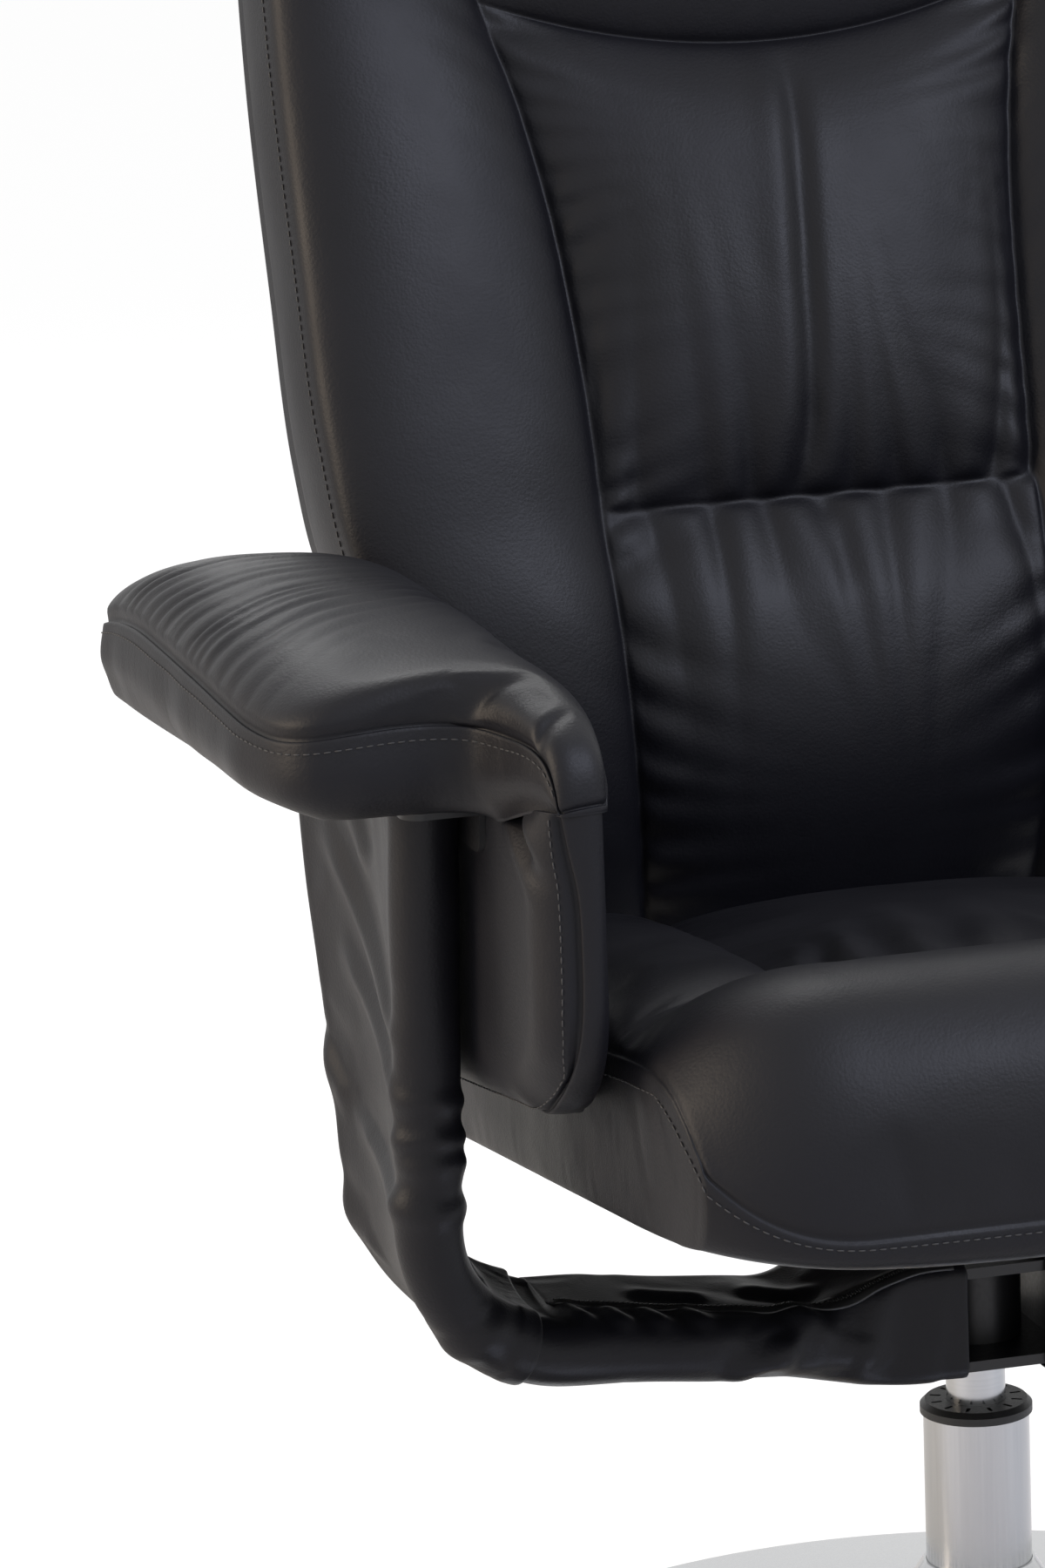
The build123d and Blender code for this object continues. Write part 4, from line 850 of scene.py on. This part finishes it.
def armPad():
    rows, cols = arm["rows"], arm["cols"]
    shares = np.linspace(0, 1, rows)
    outer, inner = alongPath(arm["outer"], shares), alongPath(arm["inner"], shares)
    across = closeSpaced(cols, 0.6)
    way = unit(np.gradient(inner[:, 1:], axis=0))
    way = np.where(way[:, :1] > -0.05, [[-0.05, -1.0]], way)
    rise = np.stack([0 * way[:, 0], way[:, 1], -way[:, 0]], axis=1)
    rise[shares < 0.5] = (0, 0, 1)
    crown = follow(arm["crown"], inner[:, 1])
    profile = (1 - np.abs(2 * across - 1) ** 2.6) ** 0.52
    sheet = inner[:, None] + (outer - inner)[:, None] * across[None, :, None]
    sheet = sheet + crown[:, None, None] * profile[None, :, None] * rise[:, None]
    # folds drawn across the rear half by the outer seam, fanning inwards
    x2, y2 = sheet[:, :, 0], sheet[:, :, 1]
    fromSeam = np.clip(outer[:, :1] - x2, 0, None)
    fan = np.interp(y2, [-120, 0, 90, 160], [0.85, 0.5, 0.1, 0.0])
    lean = y2 - fan * fromSeam + 6 * ripple(fromSeam, 30, 31)
    along = np.interp(lean, [-135, -85, -30, 60, 130, 170], [0.0, 0.35, 0.9, 1.0, 0.8, 0.4])
    reach = 34 + 16 * ripple(lean, 23, 33)
    held = np.sin(math.pi * np.linspace(0, 1, cols))[None, :] ** 0.3
    broad = np.exp(-(fromSeam / (2 * reach)) ** 2)
    push = held * along * arm["gather"] * gathers(lean, arm["pitch"], 32) * broad
    fine = gathers(lean + 3 * ripple(fromSeam, 20, 36), 7.5, 37)
    push += held * along * 1.3 * fine * np.exp(-fromSeam / 30)
    push += held * (1 - along) * 0.9 * ripple(lean, 20, 34) * np.exp(-fromSeam / 70)
    # tucks at the corner where the pad narrows to its nose
    for start, end, depth, width in arm["tucks"]:
        share, off = alongLine(x2, y2, start, end)
        fade = np.clip(1 - share, 0, 1) * (share > -0.25)
        push -= held * depth * fade * crease(off, width, 0.25, 2.2)
    sheet = sheet + push[:, :, None] * rise[:, None]
    edge = gridEdge(rows, cols)
    edgeLine = sheet.reshape(-1, 3)[edge].copy()
    run = np.roll(edgeLine, -2, axis=0)[:, :2] - np.roll(edgeLine, 2, axis=0)[:, :2]
    away = np.stack([-run[:, 1], run[:, 0]], axis=1)
    for turn in range(4):
        away = (np.roll(away, 1, axis=0) + 2 * away + np.roll(away, -1, axis=0)) / 4
    away /= np.maximum(np.linalg.norm(away, axis=1, keepdims=True), 1e-6)
    if np.median(np.sum(away * (edgeLine[:, :2] - [295, 10]), axis=1)) < 0:
        away = -away
    foot = follow(arm["foot"], edgeLine[:, 1])
    tall = np.clip((edgeLine[:, 2] - foot) / 36, 0, 1)[:, None]
    under = (follow(arm["tuckUnder"], edgeLine[:, 1]) * (edgeLine[:, 0] > 250))[:, None]
    loops = []
    for share, out in arm["boxing"]:
        z = edgeLine[:, 2] + (foot - edgeLine[:, 2]) * share
        sag = 0.8 * ripple(np.arange(len(edge)) * 3.0, 34, 35) * math.sin(math.pi * share)
        shift = np.where(out < 0, out * under, out) + sag[:, None]
        loops.append(np.concatenate([edgeLine[:, :2] + away * shift * tall, z[:, None]], axis=1))
    # the top's edge goes down behind the boxing's lip
    sheet.reshape(-1, 3)[edge, :2] -= arm["groove"] * away
    sheet.reshape(-1, 3)[edge, 2] -= 1.2 * arm["groove"] * tall[:, 0]
    loops = [loop * otherSide for loop in loops]
    piece = boxedPad("armPadCoverLeft", sheet * otherSide, loops, blackLeather)
    sewn = sewnEdges(piece, rows, cols)
    band, ring = rows * cols, len(edge)
    sewn[band + 3 * ring:band + 8 * ring] = hide["bandPin"]
    fillWithFoam(piece, sewn, arm["cloth"])
    first = band + 2 * ring + cols
    line, normals = lineOn(piece, range(first + 2, first + rows - 3))
    leftAndRight(piece, "armPadCover", "arm_pad")
    stitchBothSides("armPadStitches", line, normals)
    print("arm pads:", rows, "x", cols)


armPad()

panel = {
    "front": -219.0, "rearTop": 178.0, "rearLow": 198.0, "lowFront": 396.0, "lowRear": 333.0,
    "out": 264.0, "in": 234.6, "frontRound": 52.0, "rearRound": 26.0, "soft": 21.0, "groove": 3.4,
    # top edge along the arm, up to the crease under the nose at the front
    "top": [(-222, 532.5), (-204, 531), (-190, 527), (-178, 521.6), (-168, 519), (-158, 518.3),
            (-146, 518.2), (200, 518.2)],
    # the seam's place across, up the front edge and along the foot
    "seam": [(380, 252), (397, 252), (420, 249), (468, 246.5), (500, 248), (514, 251), (532, 254)],
    "footSeam": 250.0,
    # dart at the top of the front edge: start, end, depth, width
    "dart": ((-184.0, 521.0), (-217.0, 497.0), 6.0, 5.0), "drawnIn": 5.0,
    # share of the boxing's width, distance out from the seam
    "boxing": [(0.0, 0.5), (0.1, 1.3), (0.3, 2.2), (0.6, 2.8), (0.82, 2.0), (0.95, 0.3)],
    "middle": [-20.0, 430.0], "rows": 104, "cols": 52, "stitchInset": 2,
    "cloth": {"pressure": 0.6, "ease": 0.002, "frames": 10, "cap": 1.2, "bending": 20.0}, "fill": 0.6,
}


def armPanel():
    rows, cols = panel["rows"], panel["cols"]
    along, down = closeSpaced(rows, 0.6), closeSpaced(cols, 0.5)
    flat = np.zeros((rows, cols, 2))
    for r, t in enumerate(along):
        for c, d in enumerate(down):
            rearEdge = panel["rearTop"] + (panel["rearLow"] - panel["rearTop"]) * d
            y = panel["front"] + (rearEdge - panel["front"]) * t
            share = (y - panel["front"]) / (panel["rearLow"] - panel["front"])
            low = panel["lowFront"] + (panel["lowRear"] - panel["lowFront"]) * share
            top = follow(panel["top"], y)
            z = top + (low - top) * d
            corners = (panel["front"], 1, panel["frontRound"]), (rearEdge, -1, panel["rearRound"])
            for edgeY, inward, size in corners:
                a = 1 - (y - edgeY) * inward / size
                b = 1 - (z - low) / size
                if a > 0 and b > 0:
                    y = edgeY + inward * size * (1 - a * math.sqrt(1 - b * b / 2))
                    z = low + size * (1 - b * math.sqrt(1 - a * a / 2))
            flat[r, c] = (y, z)
    edge = gridEdge(rows, cols)
    outline = flat.reshape(-1, 2)[edge]
    hung = outline[:, 1] > follow(panel["top"], outline[:, 0]) - 0.5
    rim = outline[~hung]
    gap = np.min(np.linalg.norm(flat.reshape(-1, 1, 2) - rim[None], axis=2), axis=1).reshape(rows, cols)
    gap = np.clip(gap / panel["soft"], 0, 1)
    y2, z2 = flat[:, :, 0], flat[:, :, 1]
    atFront = np.clip((-150 - y2) / 40, 0, 1)
    seamX = panel["footSeam"] + (follow(panel["seam"], z2) - panel["footSeam"]) * atFront
    x = seamX + (panel["out"] - seamX) * (1 - (1 - gap) ** 2) ** 0.72
    # drawn in under the nose
    x = x - panel["drawnIn"] * atFront * gap * np.exp(-(follow(panel["top"], y2) - z2) / 7)
    start, end, depth, width = panel["dart"]
    share, off = alongLine(y2, z2, start, end)
    fade = np.clip(1.15 - share, 0, 1) * (share > -0.3)
    x = x - fade * depth * crease(np.abs(off), width, 0.4, 1.9) * gap
    x = x + 0.3 * ripple(y2 + 0.5 * z2, 60, 36) * gap
    sheet = np.stack([x, y2, z2], axis=2)
    flatIn = sheet.copy()
    flatIn[:, :, 0] = panel["in"]
    side = unit(np.concatenate([np.zeros((len(edge), 1)), outline - panel["middle"]], axis=1))
    side[hung] = 0
    loops = []
    edgeLine = sheet.reshape(-1, 3)[edge].copy()
    # the face's edge goes down behind the lip of the boxing
    sheet.reshape(-1, 3)[edge] -= panel["groove"] * side
    sheet.reshape(-1, 3)[edge, 0] -= 0.9 * panel["groove"] * (np.linalg.norm(side, axis=1) > 0.5)
    for share, out in panel["boxing"]:
        loop = edgeLine + side * out
        loop[:, 0] = edgeLine[:, 0] + (panel["in"] - edgeLine[:, 0]) * share
        loops.append(loop)
    loops = [loop * otherSide for loop in loops]
    piece = boxedPad("armPanelCoverLeft", sheet * otherSide, loops, blackLeather,
                     underGrid=flatIn * otherSide)
    fillWithFoam(piece, sewnEdges(piece, rows, cols), panel["cloth"])
    # down the front and along the foot
    inset = panel["stitchInset"]
    path = [inset * cols + c for c in range(inset, cols - inset)]
    path += [r * cols + cols - 1 - inset for r in range(inset + 1, rows - inset)]
    line, normals = lineOn(piece, path)
    leftAndRight(piece, "armPanelCover", "arm_panel")
    stitchBothSides("armPanelStitches", line, normals)
    print("arm panels:", rows, "x", cols)


armPanel()

# sleeves over the twin tubes

tubes = {
    "x": 283.3, "start": 22.0, "hubX": 35.0, "z": 218.0, "rise": math.radians(9), "elbowR": 75.0,
    # places along the depth at the hub, the elbow and the arm
    "front": (-26.0, -80.0, -103.0), "rear": (26.0, -14.0, 77.0), "top": 515.0, "r": 12.5,
}
sleeve = {
    "play": 1.6, "wall": 1.5, "hem": 19.0, "flare": 39.0, "waist": 112.0, "sink": 0.42, "lap": 0.16,
    "hubY": 45.0, "hubZ": 205.0, "hubH": 50.0, "hubPlay": 3.4, "hubRound": 7.0, "around": 96,
    # fullness of the upright's cover from the lap on
    "full": [(0.0, 2.3), (0.12, 2.0), (0.3, 0.8), (0.84, 0.3)],
    "uprightSlack": {"size": 0.9, "pitch": 46, "phase": 0.6, "seed": 41},
    "crossSlack": {"size": 0.8, "pitch": 38, "phase": 1.4, "seed": 51},
    "cloth": {"pressure": 0.15, "ease": 0.002, "frames": 8, "cap": 1.2, "bending": 12.0}, "pin": 0.15,
}


def tubeCorners(which):
    hubY, elbowY, armY = tubes[which]
    rise = math.tan(tubes["rise"])
    start = np.array([-tubes["start"], hubY, tubes["z"] + rise * (tubes["start"] - tubes["hubX"])])
    elbow = np.array([-tubes["x"], elbowY, tubes["z"] + rise * (tubes["x"] - tubes["hubX"])])
    return start, elbow, np.array([-tubes["x"], armY, tubes["top"]])


def tubeBend(which, turn):
    # place and direction at a share of the elbow's arc
    start, elbow, top = tubeCorners(which)
    inward, upward = unit(start - elbow), unit(top - elbow)
    half = (math.pi - math.acos(np.clip(inward @ upward, -1, 1))) / 2
    first = elbow + inward * tubes["elbowR"] * math.tan(half)
    centre = elbow + unit(inward + upward) * tubes["elbowR"] / math.cos(half)
    side = unit(first - centre)
    swing = 2 * half * turn
    point = centre + tubes["elbowR"] * (side * math.cos(swing) - inward * math.sin(swing))
    return point, -inward * math.cos(swing) - side * math.sin(swing)


def twinSection(front, rear, way, extra=0.0, arc=14, web=38):
    # outline that wraps both tubes, drawn in a little between them
    way = unit(way)
    across = rear - front
    across = across - way * (across @ way)
    span = np.linalg.norm(across)
    across /= span
    out = np.cross(way, across)
    r = tubes["r"] + sleeve["play"] + sleeve["wall"] + extra
    sink = r * sleeve["sink"] * min(1, max(0, span / 2 - r) / 40)
    points = []
    for here, there, first, up in ((rear, front, -math.pi / 2, 1), (front, rear, math.pi / 2, -1)):
        for a in np.linspace(first, first + math.pi, arc):
            points.append(here + r * (across * math.cos(a) + out * math.sin(a)))
        for t in np.linspace(0, 1, web + 2)[1:-1]:
            dip = sink * math.sin(math.pi * t) ** 0.8
            points.append(here + (there - here) * t + up * out * (r - dip))
    return np.array(points)


def evenRing(ring):
    # the same closed line with evenly spaced points
    count = sleeve["around"]
    closed = np.concatenate([ring, ring[:1]])
    length = runLength(closed)
    return sample(closed, length, np.arange(count) / count * length[-1])


def foldField(length, around, girth, folds):
    # folds of slack hide, each from one place on the unrolled sleeve to another
    push = np.zeros((len(length), len(around)))
    scale = girth / (2 * math.pi)
    for s0, a0, s1, a1, height, width in folds:
        s = length[:, None] - (s0 + s1) / 2
        turn = (around[None, :] - (a0 + a1) / 2 + math.pi) % (2 * math.pi) - math.pi
        end = np.array([s1 - s0, (a1 - a0) * scale]) / 2
        share, off = alongLine(s, turn * scale, -end, end)
        fade = easeInOut(np.clip(share / 0.25, 0, 1) * np.clip((1 - share) / 0.25, 0, 1))
        push += height * fade * crease(off, width, 0.55, 1.7, 0.8)
    return push


def sleeveTube(name, rings, replaced, slack, folds):
    rings = np.array(rings)
    rows, cols = rings.shape[:2]
    centre = rings.mean(axis=1, keepdims=True)
    forward = np.roll(rings, -1, axis=1) - np.roll(rings, 1, axis=1)
    outward = unit(np.cross(forward, np.gradient(rings, axis=0)))
    outward *= np.sign(np.sum(outward * (rings - centre)))
    length = runLength(centre[:, 0])
    around = np.linspace(0, 2 * math.pi, cols, endpoint=False)
    girth = np.mean(np.sum(np.linalg.norm(np.roll(rings, -1, axis=1) - rings, axis=2), axis=1))
    lean = length[:, None] + 14 * np.sin(around + slack["phase"])[None, :]
    push = slack["size"] * ripple(lean, slack["pitch"], slack["seed"])
    push = push + foldField(length, around, girth, folds)
    ends = np.clip(np.minimum(length, length[-1] - length) / 16, 0, 1)[:, None]
    rings = rings + outward * (np.maximum(push, -1.0) * ends)[:, :, None]
    piece = makePiece(name + "Left", rings.reshape(-1, 3), gridFaces(rows, cols, wrap=True), blackLeather)
    sewn = np.full((rows, cols), sleeve["pin"])
    sewn[0] = sewn[-1] = 1
    fillWithFoam(piece, sewn.ravel(), sleeve["cloth"])
    skin, normals = readPoints(piece).reshape(rows, cols, 3), readNormals(piece).reshape(rows, cols, 3)
    pick(piece)
    wall = piece.modifiers.new("wall", "SOLIDIFY")
    wall.thickness, wall.offset = sleeve["wall"] * mm, -1
    bpy.ops.object.modifier_apply(modifier="wall")
    leftAndRight(piece, name, replaced)
    print(name, rows, "x", cols)
    return skin, normals


uprightFolds = [
    # start along, start round, end along, end round, height, width
    (286, 1.5, 236, 2.3, 2.6, 9.0), (250, 1.0, 168, 3.3, 3.6, 9.0), (196, 1.2, 146, 3.4, 3.6, 8.0),
    (150, 0.3, 118, 1.2, 3.2, 10.0), (150, 3.0, 143, 4.6, 1.8, 4.6), (131, 2.8, 127, 4.7, 2.2, 4.6),
    (118, 3.1, 116, 4.7, 1.8, 4.4), (118, 1.2, 93, 3.7, 3.0, 7.0), (92, 3.2, 100, 4.8, 1.7, 5.0),
    (44, 2.2, 22, 3.9, 2.4, 7.0), (30, 4.5, 30, 6.1, 3.4, 6.0), (50, 4.4, 52, 6.2, 3.8, 6.5),
    (72, 4.5, 74, 6.1, 3.8, 6.5), (94, 4.5, 96, 6.1, 3.2, 6.0), (80, 0.2, 60, 1.6, 2.4, 8.0),
]
crossFolds = [
    (70, 3.9, 98, 4.8, 3.6, 8.0), (104, 3.5, 80, 4.6, 3.0, 7.0), (126, 3.3, 92, 4.2, 2.6, 8.0),
    (56, 3.2, 40, 4.6, 2.6, 8.0), (136, 4.2, 146, 4.9, 2.2, 5.0), (158, 4.2, 166, 4.9, 2.2, 5.0),
    (178, 4.2, 184, 4.9, 2.4, 5.0), (196, 4.3, 206, 5.2, 2.6, 5.0), (120, 5.3, 168, 5.6, 2.2, 7.0),
    (60, 5.2, 110, 5.7, 2.4, 7.0), (90, 2.2, 120, 3.0, 2.4, 9.0), (30, 5.0, 62, 6.0, 2.4, 8.0),
    (150, 0.2, 180, 1.4, 2.2, 8.0),
]


def uprightSleeve():
    rings = []
    past, full = np.array(sleeve["full"]).T
    for turn in np.linspace(sleeve["lap"], 1, 44):
        front, wayF = tubeBend("front", turn)
        rear, wayR = tubeBend("rear", turn)
        extra = float(np.interp(turn - sleeve["lap"], past, full))
        rings.append(twinSection(front, rear, wayF + wayR, extra))
    frontTop, rearTop = tubeCorners("front")[2], tubeCorners("rear")[2]
    front, rear = tubeBend("front", 1)[0], tubeBend("rear", 1)[0]
    for t in np.linspace(0, 1, 62)[1:]:
        way = (1 - t) * (wayF + wayR) / 2 + t * np.array([0, 0, 1.0])
        here, there = front + (frontTop - front) * t, rear + (rearTop - rear) * t
        rings.append(twinSection(here, there, way, full[-1]))
    sleeveTube("uprightCover", rings, "upright_sleeve", sleeve["uprightSlack"], uprightFolds)


def hubRing(x):
    # rounded box over the hub
    corner = sleeve["hubRound"]
    deep = sleeve["hubY"] + sleeve["hubPlay"] - corner
    tall = sleeve["hubH"] / 2 + sleeve["hubPlay"] - corner
    middle = sleeve["hubZ"] + sleeve["hubH"] / 2
    box = []
    for sy, sz, a0 in ((1, -1, -math.pi / 2), (1, 1, 0), (-1, 1, math.pi / 2), (-1, -1, math.pi)):
        for a in np.linspace(a0, a0 + math.pi / 2, 8):
            box.append((-x, sy * deep + corner * math.cos(a), middle + sz * tall + corner * math.sin(a)))
    return evenRing(np.array(box))


def crossSleeve():
    firstF, wayF = tubeBend("front", 0)
    firstR, wayR = tubeBend("rear", 0)
    startF, startR = tubeCorners("front")[0], tubeCorners("rear")[0]
    rings = []
    for x in np.linspace(sleeve["hem"], abs(firstF[0]) - 0.4, 62):
        shareF = (x + startF[0]) / (abs(firstF[0]) + startF[0])
        front = startF + (firstF - startF) * shareF
        rear = startR + (firstR - startR) * (x + startR[0]) / (abs(firstR[0]) + startR[0])
        section, hub = evenRing(twinSection(front, rear, wayF + wayR)), hubRing(x)
        blend = easeInOut(np.clip((x - sleeve["flare"]) / (sleeve["waist"] - sleeve["flare"]), 0, 1))
        turns = [np.roll(way, k, axis=0) for way in (hub, hub[::-1]) for k in range(len(hub))]
        hub = min(turns, key=lambda ring: float(np.sum((ring - section)[:, 1:] ** 2)))
        ring = hub + (section - hub) * blend
        # never inside the tubes
        span = rear - front
        share = np.clip((ring - front) @ span / (span @ span), 0, 1)
        off = ring - (front + share[:, None] * span)
        far = np.linalg.norm(off, axis=1, keepdims=True)
        need = tubes["r"] + sleeve["play"] + sleeve["wall"]
        rings.append(ring + off * np.maximum(need / far - 1, 0))
    for turn in np.linspace(0, sleeve["lap"] + 0.1, 9)[1:]:
        front, wayF = tubeBend("front", turn)
        rear, wayR = tubeBend("rear", turn)
        rings.append(evenRing(twinSection(front, rear, wayF + wayR)))
    skin, normals = sleeveTube("crossCover", rings, "cross_sleeve", sleeve["crossSlack"], crossFolds)
    zipOn(skin, normals)


zipper = {
    "line": [(19, -43.0), (80, -42.0), (160, -44.0), (250, -50.0)], "first": 2, "last": 62, "step": 2.4,
    # tape, lips and the coil's bed: across, up
    "section": [(-5.4, -0.5), (-4.8, 0.4), (-2.8, 0.8), (-1.7, 1.5), (-0.9, 0.9), (0.0, 0.8), (0.9, 0.9),
                (1.7, 1.5), (2.8, 0.8), (4.8, 0.4), (5.4, -0.5), (0.0, -1.0)],
    "tooth": (1.1, 0.55, 0.6), "toothLift": 1.0, "stagger": 0.35,
}


def zipOn(skin, normals):
    # coil zip along the top of the cross sleeve
    path, ups = [], []
    for ring, up in list(zip(skin, normals))[zipper["first"]:zipper["last"]]:
        target = follow(zipper["line"], abs(ring[:, 0].mean()))
        top = np.nonzero(up[:, 2] > 0.3)[0]
        top = top[np.argsort(ring[top, 1])]
        path.append(sample(ring[top], ring[top, 1], target))
        ups.append(sample(up[top], ring[top, 1], target))
    path, ups = np.array(path), np.array(ups)
    for line in (path, ups) * 2:
        line[1:-1] = (line[:-2] + 2 * line[1:-1] + line[2:]) / 4
    ups, way = unit(ups), unit(np.gradient(path, axis=0))
    side = np.cross(way, ups)
    count = len(zipper["section"])
    points = [path[i] + side[i] * a + ups[i] * h for i in range(len(path)) for a, h in zipper["section"]]
    faces = gridFaces(len(path), count, wrap=True)
    faces += [tuple(range(count)), tuple(range((len(path) - 1) * count, len(path) * count))]
    length = runLength(path)
    wide, thick, tall = zipper["tooth"]
    for k, at in enumerate(np.arange(2, length[-1] - 2, zipper["step"] / 2)):
        spot, up, along = (sample(line, length, at) for line in (path, ups, way))
        across = np.cross(along, up)
        spot = spot + up * zipper["toothLift"] + across * zipper["stagger"] * (1 if k % 2 else -1)
        base = len(points)
        for h, size in ((-0.4, 1.0), (tall, 0.6)):
            for a, b in ((-1, -1), (1, -1), (1, 1), (-1, 1)):
                points.append(spot + across * a * wide * size + along * b * thick * size + up * h)
        faces += [(base, base + 1, base + 2, base + 3), (base + 4, base + 5, base + 6, base + 7)]
        faces += [(base + i, base + (i + 1) % 4, base + 4 + (i + 1) % 4, base + 4 + i) for i in range(4)]
    left = makePiece("sleeveZipLeft", np.array(points), faces, finishes["black_nylon"])
    right = mirrorPiece(left, "sleeveZipRight")
    for piece in (left, right):
        finishPiece(piece, "swivel", [], levels=0)
    print("sleeve zips:", len(faces), "faces")


uprightSleeve()
crossSleeve()

# camera, light and floor

view = {
    "place": (-0.97670, -2.83656, 1.179), "yaw": math.radians(-15.13), "tilt": math.radians(13.13),
    "roll": math.radians(-2.11), "sensor": 36, "focalPixels": 7672, "tallPixels": 1800,
}
lens = bpy.data.cameras.new("camera")
lens.sensor_fit = "VERTICAL"
lens.sensor_height = view["sensor"]
lens.lens = view["sensor"] * view["focalPixels"] / view["tallPixels"]
camera = bpy.data.objects.new("camera", lens)
scene.collection.objects.link(camera)
level = np.array([math.cos(view["yaw"]), math.sin(view["yaw"]), 0])
flatAhead = np.array([-math.sin(view["yaw"]), math.cos(view["yaw"]), 0])
ahead = flatAhead * math.cos(view["tilt"]) - np.array([0, 0, math.sin(view["tilt"])])
above = np.cross(level, ahead)
right = math.cos(view["roll"]) * level + math.sin(view["roll"]) * above
above = -math.sin(view["roll"]) * level + math.cos(view["roll"]) * above
axes = np.stack([right, above, -ahead, view["place"]], axis=1).tolist()
camera.matrix_world = Matrix(axes + [[0, 0, 0, 1]])
scene.camera = camera

aim = np.array([0, 0.05, 0.55])
lamps = {
    "keyLamp": {"place": (1.6, -2.2, 2.9), "size": 1.8, "power": 75, "tint": "#e2e8ff"},
    "sideLamp": {"place": (-2.7, 0.2, 1.4), "size": 1.6, "power": 50, "tint": "#ffe9cf"},
    "rearLamp": {"place": (0.3, 2.4, 2.6), "size": 1.6, "power": 35, "tint": "#ffffff"},
}
for name, lamp in lamps.items():
    light = bpy.data.lights.new(name, "AREA")
    light.shape = "DISK"
    light.size = lamp["size"]
    light.energy = lamp["power"]
    light.color = hexColour(lamp["tint"])[:3]
    holder = bpy.data.objects.new(name, light)
    scene.collection.objects.link(holder)
    holder.location = lamp["place"]
    way = aim - np.array(lamp["place"])
    tip = math.atan2(math.hypot(way[0], way[1]), -way[2])
    holder.rotation_euler = (tip, 0, math.atan2(-way[0], way[1]))

world = bpy.data.worlds.new("studio")
scene.world = world
world.use_nodes = True
tree = world.node_tree
tree.nodes.clear()
rays = addNode(tree, "ShaderNodeLightPath")
seen = addNode(tree, "ShaderNodeMath", {"operation": "MAXIMUM"},
               {0: rays.outputs["Is Camera Ray"], 1: rays.outputs["Is Glossy Ray"]})
seen = addNode(tree, "ShaderNodeMath", {"operation": "MAXIMUM"},
               {0: seen.outputs[0], 1: rays.outputs["Is Transmission Ray"]})
fill = addNode(tree, "ShaderNodeBackground", {"Color": hexColour("#ffffff"), "Strength": 0.45})
plain = addNode(tree, "ShaderNodeBackground", {"Color": hexColour("#ffffff"), "Strength": 1.0})
mixed = addNode(tree, "ShaderNodeMixShader", None,
                {0: seen.outputs[0], 1: fill.outputs[0], 2: plain.outputs[0]})
addNode(tree, "ShaderNodeOutputWorld", None, {"Surface": mixed.outputs[0]})

bpy.ops.object.select_all(action="DESELECT")
bpy.ops.mesh.primitive_plane_add(size=40, location=(0, 0, -0.0008))
floor = bpy.context.object
floor.name = "studioFloor"
paint = bpy.data.materials.new("paleFloor")
paint.use_nodes = True
tree = paint.node_tree
tree.nodes.clear()
matt = addNode(tree, "ShaderNodeBsdfDiffuse", {"Color": hexColour("#f4f4f4")})
glow = addNode(tree, "ShaderNodeEmission", {"Color": hexColour("#ffffff"), "Strength": 1.2})
rays = addNode(tree, "ShaderNodeLightPath")
seen = addNode(tree, "ShaderNodeMath", {"operation": "MULTIPLY", 1: 0.72},
               {0: rays.outputs["Is Camera Ray"]})
mixed = addNode(tree, "ShaderNodeMixShader", None,
                {0: seen.outputs[0], 1: matt.outputs[0], 2: glow.outputs[0]})
addNode(tree, "ShaderNodeOutputMaterial", None, {"Surface": mixed.outputs[0]})
floor.data.materials.append(paint)
scene.view_settings.view_transform = "Standard"
